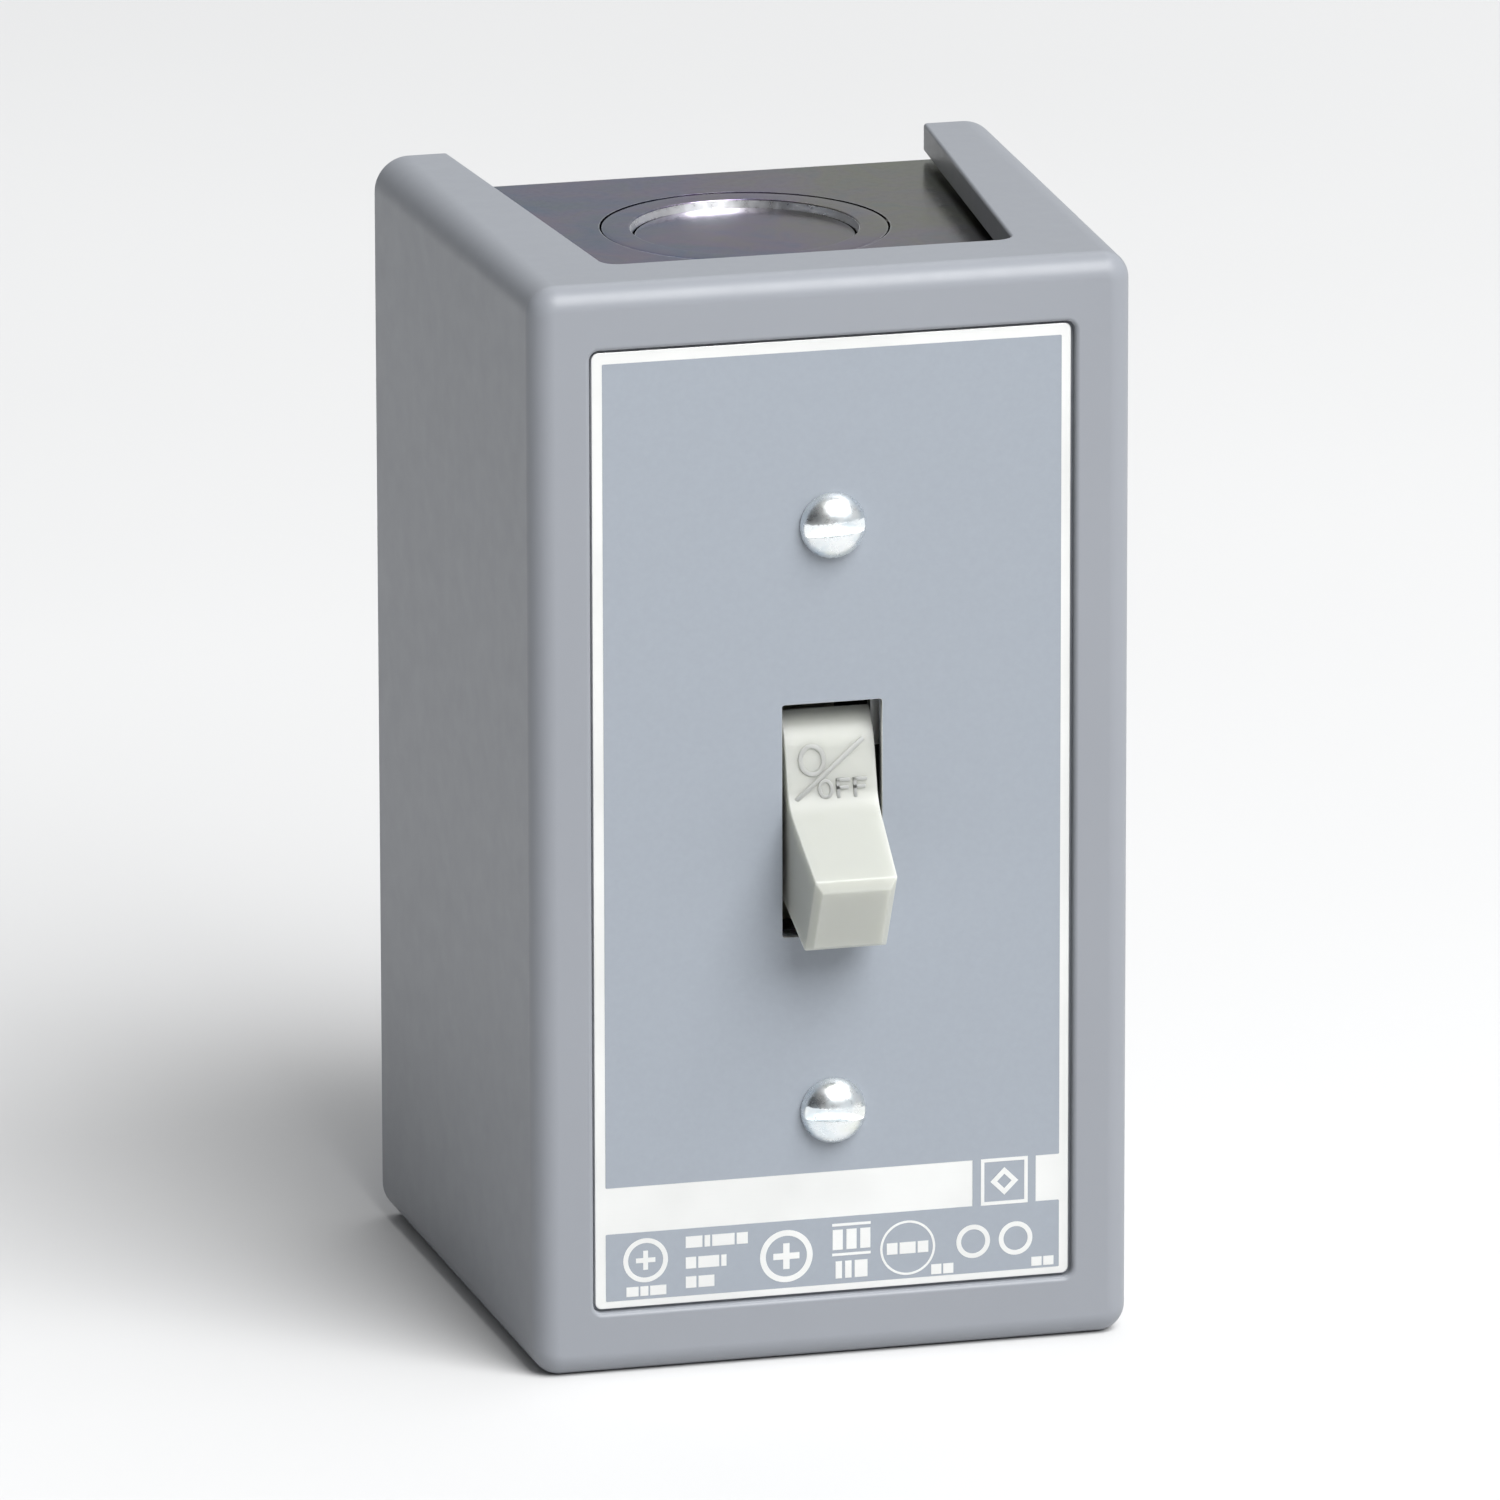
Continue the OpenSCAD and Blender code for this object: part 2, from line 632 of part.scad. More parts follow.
module rear_housing() {
  chamber_w = housing_w - 2 * housing_wall;
  rib_in_x = carrier_w / 2 + guide_clear;
  recess_margin = 7;
  rib_below_strip = 0.6;
  pole_wall_t = 1.5;
  pole_wall_gap = 1.7;
  strip_fit = 0.1;
  thread_end_gap = 0.3;
  color(PHENOLIC) difference() {
    union() {
      difference() {
        housing_block(split_y, housing_back_y);
        housing_chamber(split_y - past, floor_y);
        rounded_plate(housing_w / 2, housing_h - 2 * recess_margin, 2, floor_y + floor_t,
                      housing_back_y + past);
      }
      for (s = SIDES) {
        // guides beside the carrier
        translate([s * (rib_in_x + guide_w / 2), 0, 0])
          slab(guide_w, strip_y + strip_d / 2 + rib_below_strip, floor_y + eps,
               housing_wall - housing_h / 2 - eps, housing_h / 2 - housing_wall + eps);
        // walls between the poles, and barriers between the terminals outside
        for (pole = [1, 0])
          translate([s * (rib_in_x + guide_w + chamber_w / 2) / 2, 0, 0])
            slab(chamber_w / 2 - rib_in_x - guide_w + eps, split_y, floor_y + eps,
                 pole_z(pole) + strip_bottom - pole_wall_gap - pole_wall_t,
                 pole_z(pole) + strip_bottom - pole_wall_gap);
        for (i = [0 : len(POLES)])
          translate([s * (housing_w + barrier_h - eps) / 2, 0, 0])
            slab(barrier_h + eps, split_y, housing_back_y,
                 terminal_z + (1.5 - i) * pole_pitch - barrier_t / 2,
                 terminal_z + (1.5 - i) * pole_pitch + barrier_t / 2);
      }
    }
    housing_screw_holes(split_y - past, housing_back_y + past);
    for (s = SIDES, pole = POLES) {
      translate([s * (housing_w - housing_wall) / 2, 0, pole_z(pole)])
        slab(housing_wall + past, split_y - past, strip_y + strip_d / 2 + strip_fit,
             strip_bottom - strip_fit, strip_top + strip_fit);
      x_in = housing_w / 2 - terminal_screw_l - thread_end_gap;
      rod_x(terminal_screw_r + thread_fit, s > 0 ? x_in : -housing_w / 2 - past,
            s > 0 ? housing_w / 2 + past : -x_in, terminal_y, pole_z(pole) + terminal_z);
    }
  }
}

module housing_screws() {
  head_r = 2.7;
  head_h = 1.8;
  short_of_strap = 0.2;
  color(ZINC) for (sx = SIDES, sz = SIDES) {
    x = sx * housing_screw_x;
    z = sz * housing_screw_z;
    translate([x, housing_back_y, z]) rotate([-90, 0, 0]) rotate([0, 0, 30 * sx * sz])
      slotted_head(head_r, head_h, driver_slot_w * 0.8, head_h * 0.5);
    rod_y(housing_screw_r, strap_y + short_of_strap, housing_back_y + eps, x, z);
  }
}

// ---------------------------------------------------------------- toggle

// The handle's side outline in its own frame: u runs from the pivot to the tip, w across it
root_u = 6.65;
root_w = 5.2;

module handle_outline() {
  wing_out = concat([[root_u, root_w]], curve([2.9, 9.4], [1.4, 11.0], [-0.95, 11.4], 6));
  wing_in = [[-2.2, 9.9], [1.2, 7.9], [4.4, 4.2], [1.4, hub_r - 0.9]];
  half = concat(wing_out, wing_in);
  other = [for (i = [len(half) - 1 : -1 : 0]) [half[i][0], -half[i][1]]];
  polygon(concat(half, other));
}

// A round cam with two flats, one for each end of the throw
module cam_outline() {
  difference() {
    circle(r = hub_r);
    for (s = SIDES) rotate(180 + s * half_throw) translate([flat_r, -hub_r]) square(2 * hub_r);
  }
}

module tail_outline() {
  translate([-tail_reach, 0]) circle(r = tail_r);
  translate([-tail_reach, -tail_neck]) square([tail_reach, 2 * tail_neck]);
}

// Thin sections of the paddle, from root to tip, blended by one hull
module paddle() {
  bevel = 0.75;
  sections = [[root_u - 1.6, toggle_w, 2 * root_w + 0.15],
              [toggle_reach - bevel, toggle_tip_w, 9.3],
              [toggle_reach - eps, toggle_tip_w - 1.4, 7.4]];
  hull() for (s = sections)
    translate([s[0], -s[2] / 2, -s[1] / 2]) cube([eps, s[2], s[1]]);
}

// Turns the handle's frame (u, w, across) into the part's frame at OFF
module at_lever() {
  translate([0, pivot_y, 0]) rotate([half_throw, 0, 0])
    multmatrix([[0, 0, 1, 0], [-1, 0, 0, 0], [0, 1, 0, 0], [0, 0, 0, 1]]) children();
}

module toggle_handle() {
  color(IVORY) at_lever() difference() {
    union() {
      paddle();
      translate([0, 0, -toggle_w / 2]) linear_extrude(toggle_w) {
        handle_outline();
        cam_outline();
      }
      translate([0, 0, -tail_half_w]) linear_extrude(2 * tail_half_w) tail_outline();
    }
    translate([0, 0, -toggle_w]) cylinder(r = pin_r + pin_clear, h = 2 * toggle_w);
  }
}

module toggle_pin() {
  color(ZINC) rod_x(pin_r, -cheek_in_x - cheek_w, cheek_in_x + cheek_w, pivot_y);
}

// A flat steel frame: two prongs that bear on the cam, joined by a bar at each end
module detent_spring() {
  half_w = cheek_in_x + leaf_grip;
  prong_half_w = toggle_w / 2 - 0.1;
  color(ZINC) difference() {
    union() {
      slab(2 * prong_half_w, leaf_y, leaf_y + leaf_t, -leaf_half_h, leaf_half_h);
      for (s = SIDES)
        slab(2 * half_w, leaf_y, leaf_y + leaf_t,
             s * (leaf_half_h - leaf_bar_h / 2) - leaf_bar_h / 2,
             s * (leaf_half_h - leaf_bar_h / 2) + leaf_bar_h / 2);
    }
    slab(2 * leaf_slot_half_w, leaf_y - past, leaf_y + leaf_t + past,
         leaf_bar_h - leaf_half_h, leaf_half_h - leaf_bar_h);
  }
}

// ---------------------------------------------------------------- contacts

module contact_carrier() {
  fork_half_h = tail_r + fork_clear + fork_wall;
  fork_w = 2 * tail_half_w + 0.8;
  tail_end_clear = 0.2;
  color(NYLON) translate([0, 0, carrier_z]) difference() {
    union() {
      slab(carrier_w, carrier_front_y, carrier_back_y, -carrier_half_h, carrier_half_h);
      slab(fork_w, fork_mouth_y, carrier_front_y + eps,
           -fork_half_h, fork_half_h);
    }
    slab(fork_w + past, fork_mouth_y - past, pivot_y + tail_reach + tail_r + tail_end_clear,
         -tail_r - fork_clear, tail_r + fork_clear);
    for (pole = POLES)
      slab(carrier_w + past, strip_y - strip_d / 2 - window_clear,
           strip_y + strip_d / 2 + window_clear,
           pole_z(pole) - window_h / 2, pole_z(pole) + window_h / 2);
  }
}

module contact_bridge(pole) {
  bridge_d = strip_d - 0.6;
  color(COPPER) translate([0, 0, pole_z(pole)])
    slab(2 * bridge_half_l, strip_y - bridge_d / 2, strip_y + bridge_d / 2,
         bridge_bottom, bridge_top);
}

module contact_bridge_1() contact_bridge(POLES[0]);
module contact_bridge_2() contact_bridge(POLES[1]);
module contact_bridge_3() contact_bridge(POLES[2]);

// Six round silver tips whose undersides are at z
module tips(z) {
  color(SILVER) for (pole = POLES, s = SIDES)
    translate([s * tip_x, strip_y, pole_z(pole) + z]) cylinder(r = tip_r, h = tip_h);
}

module moving_contact_tips() tips(bridge_bottom - tip_h);
module fixed_contact_tips() tips(strip_top);

// A coil spring along +Z: rings of points round a helix, with flat closed ends
module coil(r, wire_r, h, turns) {
  sides = 8;
  per_turn = 14;
  rings = turns * per_turn;
  rise = h - 2 * wire_r;
  points = [for (i = [0 : rings]) let (a = 360 * turns * i / rings)
    for (j = [0 : sides - 1]) let (b = 360 * j / sides, q = r + wire_r * cos(b))
      [q * cos(a), q * sin(a), wire_r + rise * i / rings + wire_r * sin(b)]];
  skin = [for (i = [0 : rings - 1], j = [0 : sides - 1]) let (k = (j + 1) % sides)
    [i * sides + j, i * sides + k, (i + 1) * sides + k, (i + 1) * sides + j]];
  start = [for (j = [sides - 1 : -1 : 0]) j];
  end = [for (j = [0 : sides - 1]) rings * sides + j];
  polyhedron(points = points, faces = concat(skin, [start], [end]), convexity = turns);
}

module contact_spring(pole) {
  z0 = bridge_top + spring_seat_gap;
  color(ZINC) translate([0, strip_y, pole_z(pole) + z0])
    coil(spring_r, spring_wire_r, window_top - spring_seat_gap - z0, spring_turns);
}

module contact_spring_1() contact_spring(POLES[0]);
module contact_spring_2() contact_spring(POLES[1]);
module contact_spring_3() contact_spring(POLES[2]);

// A terminal: a tongue through the housing's wall, folded into a pad outside it
module terminal(side, pole) {
  x_out = housing_w / 2 + strip_t;
  color(COPPER) translate([0, 0, pole_z(pole)]) difference() {
    union() {
      translate([side * (strip_in_x + x_out) / 2, 0, 0])
        slab(x_out - strip_in_x, strip_y - strip_d / 2, strip_y + strip_d / 2,
             strip_bottom, strip_top);
      translate([side * (housing_w + strip_t) / 2, 0, 0])
        slab(strip_t, strip_y - strip_d / 2, strip_y - strip_d / 2 + pad_d,
             strip_bottom, strip_bottom + pad_h);
    }
    rod_x(terminal_screw_r + thread_fit, side > 0 ? 0 : -2 * x_out, side > 0 ? 2 * x_out : 0,
          terminal_y, terminal_z);
  }
}

module line_terminal_1() terminal(-1, POLES[0]);
module line_terminal_2() terminal(-1, POLES[1]);
module line_terminal_3() terminal(-1, POLES[2]);
module load_terminal_1() terminal(1, POLES[0]);
module load_terminal_2() terminal(1, POLES[1]);
module load_terminal_3() terminal(1, POLES[2]);

pad_x = housing_w / 2 + strip_t;

module wire_clamps() {
  color(BRASS) for (s = SIDES, pole = POLES)
    translate([s * (pad_x + clamp_t / 2), terminal_y, pole_z(pole) + terminal_z]) difference() {
      cube([clamp_t, clamp_size, clamp_size], center = true);
      rod_x(terminal_screw_r + 0.2, -clamp_t, clamp_t);
    }
}

module terminal_screws() {
  color(BRASS) for (s = SIDES, pole = POLES)
    translate([s * (pad_x + clamp_t), terminal_y, pole_z(pole) + terminal_z])
      rotate([0, 90 * s, 0]) {
        rotate([0, 0, 40 + 35 * pole])
          slotted_head(terminal_head_r, terminal_head_h, driver_slot_w, terminal_head_h * 0.55);
        translate([0, 0, -terminal_screw_l - clamp_t - strip_t])
          cylinder(r = terminal_screw_r, h = terminal_screw_l + clamp_t + strip_t + eps);
      }
}

// ---------------------------------------------------------------- nodes

cover();
nameplate();
cover_screws();
back_box();
knockout_ring_top();
knockout_disc_top();
knockout_ring_bottom();
knockout_disc_bottom();
ground_screw();
mounting_strap();
strap_screws();
front_housing();
rear_housing();
housing_screws();
toggle_handle();
toggle_pin();
detent_spring();
contact_carrier();
contact_bridge_1();
contact_bridge_2();
contact_bridge_3();
moving_contact_tips();
contact_spring_1();
contact_spring_2();
contact_spring_3();
line_terminal_1();
line_terminal_2();
line_terminal_3();
load_terminal_1();
load_terminal_2();
load_terminal_3();
fixed_contact_tips();
wire_clamps();
terminal_screws();
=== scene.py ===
"""Looks for the manual motor starting switch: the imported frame, finer shells, all materials.

Shapes are built in millimetres in the part's own frame and turned into metres when they become
objects. The front faces -Y, +Z is up, and y = 0 is the wall.
"""
import json
import math

import bmesh
import bpy
from mathutils import Matrix, Vector


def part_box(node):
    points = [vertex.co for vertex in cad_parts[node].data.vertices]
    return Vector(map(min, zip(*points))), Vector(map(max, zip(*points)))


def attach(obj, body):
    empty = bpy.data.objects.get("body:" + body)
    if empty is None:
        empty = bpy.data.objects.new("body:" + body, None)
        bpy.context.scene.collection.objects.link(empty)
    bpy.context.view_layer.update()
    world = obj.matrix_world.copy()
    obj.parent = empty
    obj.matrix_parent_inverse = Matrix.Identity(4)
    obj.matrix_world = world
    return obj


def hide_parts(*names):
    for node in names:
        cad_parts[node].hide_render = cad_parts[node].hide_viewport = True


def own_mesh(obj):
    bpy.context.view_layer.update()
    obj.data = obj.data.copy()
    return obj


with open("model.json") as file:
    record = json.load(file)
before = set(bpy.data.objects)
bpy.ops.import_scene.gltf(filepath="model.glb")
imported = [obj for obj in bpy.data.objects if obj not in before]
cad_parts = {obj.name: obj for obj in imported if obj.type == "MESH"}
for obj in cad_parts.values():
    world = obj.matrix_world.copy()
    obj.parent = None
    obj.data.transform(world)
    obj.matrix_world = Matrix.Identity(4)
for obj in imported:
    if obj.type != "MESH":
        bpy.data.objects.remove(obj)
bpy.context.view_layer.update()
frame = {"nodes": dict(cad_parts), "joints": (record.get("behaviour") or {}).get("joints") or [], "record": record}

MM = 0.001
NODES = frame["nodes"]
JOINTS = {joint["name"]: joint for joint in frame["joints"]}


def box_mm(node):
    """The CAD node's lowest and highest corner, in millimetres."""
    low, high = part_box(node)
    return low / MM, high / MM


# ------------------------------------------------------------------ sizes, in millimetres

COVER_LOW, COVER_HIGH = box_mm("cover")
PLATE_LOW, PLATE_HIGH = box_mm("nameplate")
SCREW_LOW, SCREW_HIGH = box_mm("cover_screws")
HANDLE_LOW, HANDLE_HIGH = box_mm("toggle_handle")

FRONT_Y = COVER_LOW.y
RIM_Y = COVER_HIGH.y
COVER_H = COVER_HIGH.z - COVER_LOW.z
COVER_BACK_W = COVER_HIGH.x - COVER_LOW.x
COVER_FRONT_W = 61.2
COVER_WALL = 3.0
FRONT_EDGE_R = 2.4
FRONT_CORNER_R = 2.8
BACK_CORNER_R = 3.6

CUTOUT_FRONT_W = 41.6
CUTOUT_BACK_W = 49.9
CUTOUT_SETBACK = 9.2
CUTOUT_CORNER_R = 1.8

PLATE_W = PLATE_HIGH.x - PLATE_LOW.x
PLATE_H = PLATE_HIGH.z - PLATE_LOW.z
PLATE_FACE_Y = PLATE_LOW.y
POCKET_Y = PLATE_HIGH.y
PLATE_CORNER_R = 0.7
POCKET_GAP = 0.3
POCKET_ROLL = 0.45
SLOT_W = 10.2
SLOT_H = 23.9

SCREW_HEAD_R = (SCREW_HIGH.x - SCREW_LOW.x) / 2
SCREW_HEAD_H = PLATE_FACE_Y - SCREW_LOW.y
SCREW_DZ = SCREW_HIGH.z - SCREW_LOW.z - 2 * SCREW_HEAD_R
SCREW_R = 1.75
SCREW_HOLE_R = SCREW_R + 0.35
DRIVER_SLOT_W = 1.2

PIVOT = Vector(JOINTS["toggle_throw"]["pos_m"]) / MM
HALF_THROW = JOINTS["toggle_throw"]["range_deg"][1] / 2

# How far a cutting shape runs past the face it cuts, and how near a vertex is to a face it is on.
OVERCUT = 1.0
ON_FACE = 0.005


# ------------------------------------------------------------------ mesh helpers

def finish_mesh(name, bm, body, material, replaces=(), smooth_angle=35.0, weighted=True):
    """Turns a bmesh in millimetres into a piece in metres, shaded smooth below the angle."""
    bmesh.ops.recalc_face_normals(bm, faces=bm.faces)
    bmesh.ops.scale(bm, vec=(MM, MM, MM), verts=bm.verts)
    mesh = bpy.data.meshes.new(name)
    bm.to_mesh(mesh)
    bm.free()
    mesh.shade_smooth()
    mesh.set_sharp_from_angle(angle=math.radians(smooth_angle))
    piece = bpy.data.objects.new(name, mesh)
    bpy.context.scene.collection.objects.link(piece)
    if weighted:
        normals = piece.modifiers.new("normals", "WEIGHTED_NORMAL")
        normals.keep_sharp = True
        normals.weight = 80
    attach(piece, body)
    if replaces:
        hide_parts(*replaces)
    mesh.materials.append(material)
    return piece


def scratch_object(bm):
    """A bmesh as a linked object for booleans."""
    bmesh.ops.recalc_face_normals(bm, faces=bm.faces)
    mesh = bpy.data.meshes.new("scratch")
    bm.to_mesh(mesh)
    bm.free()
    obj = bpy.data.objects.new("scratch", mesh)
    bpy.context.scene.collection.objects.link(obj)
    return obj


def combine(bm, others, operation):
    """bm with each of the others cut from it or joined to it, as a new bmesh."""
    base = scratch_object(bm)
    tools = [scratch_object(other) for other in others]
    for tool in tools:
        step = base.modifiers.new("step", "BOOLEAN")
        step.object = tool
        step.operation = operation
        step.solver = "EXACT"
    graph = bpy.context.evaluated_depsgraph_get()
    result = bmesh.new()
    result.from_object(base, graph)
    for obj in [base, *tools]:
        mesh = obj.data
        bpy.data.objects.remove(obj)
        bpy.data.meshes.remove(mesh)
    bmesh.ops.remove_doubles(result, verts=result.verts, dist=0.002)
    bmesh.ops.dissolve_limit(result, angle_limit=math.radians(0.2), verts=result.verts,
                             edges=result.edges)
    return result


def join_rows(bm, row, following):
    """Quads between two closed rows of vertices."""
    for i in range(len(row)):
        j = (i + 1) % len(row)
        bm.faces.new((row[i], row[j], following[j], following[i]))


def loft(rings):
    """A closed solid through rings of points, listed from one end to the other."""
    bm = bmesh.new()
    rows = [[bm.verts.new(point) for point in ring] for ring in rings]
    for row, following in zip(rows, rows[1:]):
        join_rows(bm, row, following)
    bm.faces.new(rows[0])
    bm.faces.new(rows[-1])
    return bm


def rounded_ring(half_w, half_h, radius, y, steps):
    """Points of a rectangle in X and Z with round corners, at y."""
    points = []
    for corner in range(4):
        sx = 1 if corner in (0, 3) else -1
        sz = 1 if corner < 2 else -1
        for i in range(steps + 1):
            a = math.radians(90 * (corner + i / steps))
            points.append((sx * (half_w - radius) + radius * math.cos(a), y,
                           sz * (half_h - radius) + radius * math.sin(a)))
    return points


def rounded_block(width, height, radius, y0, y1, steps=8, x=0.0, z=0.0):
    """A plate with round corners from y0 to y1."""
    bm = loft([rounded_ring(width / 2, height / 2, radius, y, steps) for y in (y0, y1)])
    bmesh.ops.translate(bm, vec=(x, 0, z), verts=bm.verts)
    return bm


def block(x0, x1, y0, y1, z0, z1, bm=None):
    """A plain block, as a new bmesh or added to bm."""
    bm = bmesh.new() if bm is None else bm
    verts = bmesh.ops.create_cube(bm, size=1.0)["verts"]
    bmesh.ops.scale(bm, vec=(x1 - x0, y1 - y0, z1 - z0), verts=verts)
    bmesh.ops.translate(bm, vec=((x0 + x1) / 2, (y0 + y1) / 2, (z0 + z1) / 2), verts=verts)
    return bm


def round_rod(radius, y0, y1, x, z):
    """A cylinder along Y."""
    return loft([[(px, y, pz) for px, pz in circle(x, z, radius)] for y in (y0, y1)])


def prism(outline, z0, z1):
    """An outline in X and Y, raised from z0 to z1."""
    return loft([[(x, y, z) for x, y in outline] for z in (z0, z1)])


def raise_outline(bm, place, high, low, outer, inner=None):
    """Raises an outline, or the band between two, open below; place(a, b, height) is a point."""
    def row(points, height):
        return [bm.verts.new(place(a, b, height)) for a, b in points]

    top = row(outer, high)
    join_rows(bm, row(outer, low), top)
    if inner is None:
        bm.faces.new(top)
        return
    inner_top = row(inner, high)
    join_rows(bm, inner_top, row(inner, low))
    join_rows(bm, top, inner_top)


def arc(cx, cy, radius, start, end, steps):
    """Points of an arc, angles in degrees."""
    angles = [math.radians(start + (end - start) * i / steps) for i in range(steps + 1)]
    return [(cx + radius * math.cos(a), cy + radius * math.sin(a)) for a in angles]


def oval(cx, cy, half_w, half_h, steps):
    """Points of an upright ellipse."""
    angles = [2 * math.pi * i / steps for i in range(steps)]
    return [(cx + half_w * math.cos(a), cy + half_h * math.sin(a)) for a in angles]


def circle(cx, cy, radius, steps=48):
    """Points of a full circle."""
    return oval(cx, cy, radius, radius, steps)


def quadratic(a, b, c, steps):
    """Points of a quadratic curve from a to c, drawn towards b."""
    return [((1 - t) ** 2 * a[0] + 2 * t * (1 - t) * b[0] + t * t * c[0],
             (1 - t) ** 2 * a[1] + 2 * t * (1 - t) * b[1] + t * t * c[1])
            for t in (i / steps for i in range(steps + 1))]


def round_edges(bm, chosen, radius, segments):
    """Rounds the edges that chosen(edge) picks."""
    bm.normal_update()
    edges = [edge for edge in bm.edges if len(edge.link_faces) == 2 and chosen(edge)]
    bmesh.ops.bevel(bm, geom=edges, offset=radius, offset_type="OFFSET", segments=segments,
                    profile=0.5, affect="EDGES", clamp_overlap=False)


def sharp(edge, degrees=50.0):
    """Whether the two faces at an edge turn by more than the angle."""
    return edge.calc_face_angle(0.0) > math.radians(degrees)


# ------------------------------------------------------------------ materials

class Nodes:
    """Short calls for building one node tree."""

    def __init__(self, name):
        self.material = bpy.data.materials.new(name)
        self.material.use_nodes = True
        self.tree = self.material.node_tree
        self.shader = self.tree.nodes["Principled BSDF"]
        self.coords = self.tree.nodes.new("ShaderNodeTexCoord").outputs["Object"]

    def link(self, source, target):
        self.tree.links.new(source, target)

    def noise(self, scale, detail=3.0, roughness=0.55, stretch=(1, 1, 1), distortion=0.0):
        """Noise over the part's own millimetres, stretched along an axis."""
        mapping = self.tree.nodes.new("ShaderNodeMapping")
        mapping.inputs["Scale"].default_value = [s / MM for s in stretch]
        self.link(self.coords, mapping.inputs["Vector"])
        texture = self.tree.nodes.new("ShaderNodeTexNoise")
        texture.inputs["Scale"].default_value = scale
        texture.inputs["Detail"].default_value = detail
        texture.inputs["Roughness"].default_value = roughness
        texture.inputs["Distortion"].default_value = distortion
        self.link(mapping.outputs["Vector"], texture.inputs["Vector"])
        return texture.outputs["Fac"]

    def span(self, source, low, high, source_low=0.3, source_high=0.7):
        """Maps a factor to a range of values."""
        node = self.tree.nodes.new("ShaderNodeMapRange")
        node.inputs["From Min"].default_value = source_low
        node.inputs["From Max"].default_value = source_high
        node.inputs["To Min"].default_value = low
        node.inputs["To Max"].default_value = high
        self.link(source, node.inputs["Value"])
        return node.outputs["Result"]

    def ramp(self, source, stops):
        """Colours at places along a factor."""
        node = self.tree.nodes.new("ShaderNodeValToRGB")
        while len(node.color_ramp.elements) < len(stops):
            node.color_ramp.elements.new(0.5)
        for element, (place, colour) in zip(node.color_ramp.elements, stops):
            element.position = place
            element.color = (*colour, 1.0)
        self.link(source, node.inputs["Fac"])
        return node.outputs["Color"]

    def mix(self, factor, a, b):
        """Blends two colour sockets or colours by a factor socket or number."""
        node = self.tree.nodes.new("ShaderNodeMix")
        node.data_type = "RGBA"
        for socket, value in ((node.inputs[0], factor), (node.inputs[6], a), (node.inputs[7], b)):
            if isinstance(value, bpy.types.NodeSocket):
                self.link(value, socket)
            elif isinstance(value, (int, float)):
                socket.default_value = value
            else:
                socket.default_value = (*value, 1.0)
        return node.outputs[2]

    def bump(self, height, strength, distance_mm):
        """Adds relief on top of what the shader already has."""
        node = self.tree.nodes.new("ShaderNodeBump")
        node.inputs["Strength"].default_value = strength
        node.inputs["Distance"].default_value = distance_mm * MM
        self.link(height, node.inputs["Height"])
        used = self.shader.inputs["Normal"].links
        if used:
            self.link(used[0].from_socket, node.inputs["Normal"])
        self.link(node.outputs["Normal"], self.shader.inputs["Normal"])

    def edge_mask(self, radius_mm, low=0.80, high=0.99):
        """1 on worn outside edges and 0 on flat faces, broken up by noise."""
        bevel = self.tree.nodes.new("ShaderNodeBevel")
        bevel.samples = 4
        bevel.inputs["Radius"].default_value = radius_mm * MM
        plain = self.tree.nodes.new("ShaderNodeNewGeometry").outputs["Normal"]
        dot = self.tree.nodes.new("ShaderNodeVectorMath")
        dot.operation = "DOT_PRODUCT"
        self.link(bevel.outputs["Normal"], dot.inputs[0])
        self.link(plain, dot.inputs[1])
        edge = self.span(dot.outputs["Value"], 1.0, 0.0, low, high)
        broken = self.span(self.noise(0.9, detail=3.0), 0.15, 1.0)
        both = self.tree.nodes.new("ShaderNodeMath")
        both.operation = "MULTIPLY"
        both.use_clamp = True
        self.link(edge, both.inputs[0])
        self.link(broken, both.inputs[1])
        return both.outputs["Value"]

    def less(self, value, mask, amount):
        """A value lowered by amount where the mask is 1."""
        node = self.tree.nodes.new("ShaderNodeMath")
        node.operation = "MULTIPLY_ADD"
        self.link(mask, node.inputs[0])
        node.inputs[1].default_value = -amount
        self.link(value, node.inputs[2])
        return node.outputs["Value"]

    def set(self, **values):
        """Sets the shader's own sockets; names use _ for a space."""
        for name, value in values.items():
            socket = self.shader.inputs[name.replace("_", " ")]
            if isinstance(value, bpy.types.NodeSocket):
                self.link(value, socket)
            elif isinstance(value, (tuple, list)):
                socket.default_value = (*value, 1.0)
            else:
                socket.default_value = value


def shade(colour, factor):
    """The colour made lighter or darker."""
    return tuple(min(1.0, channel * factor) for channel in colour)


def moulded(name, colour, roughness, grain=1.0, spread=0.03, wear=0.06):
    """Moulded plastic: faint flow marks in the colour, a fine grain and edges rubbed shiny."""
    n = Nodes(name)
    flow = n.noise(0.03, detail=2.0, distortion=0.4)
    body = n.ramp(flow, [(0.3, shade(colour, 0.985)), (0.7, shade(colour, 1.015))])
    rubbed = n.edge_mask(0.5)
    gloss = n.span(n.noise(0.35, detail=4.0), roughness - spread, roughness + spread)
    n.set(Base_Color=n.mix(rubbed, body, shade(colour, 1.0 + 2 * wear)),
          Roughness=n.less(gloss, rubbed, wear), IOR=1.48)
    n.bump(n.noise(3.2, detail=2.0), 0.14 * grain, 0.02)
    n.bump(n.noise(0.045, detail=1.0), 0.03 * grain, 0.15)
    return n.material


def ink(name, colour):
    """Printed ink on metal: flat colour with a faint mesh of pinholes."""
    n = Nodes(name)
    speck = n.noise(1.6, detail=3.0)
    n.set(Base_Color=n.ramp(speck, [(0.25, shade(colour, 0.975)), (0.75, shade(colour, 1.02))]),
          Roughness=n.span(n.noise(0.25), 0.40, 0.50), IOR=1.5)
    n.bump(n.noise(4.0, detail=1.0), 0.08, 0.01)
    return n.material


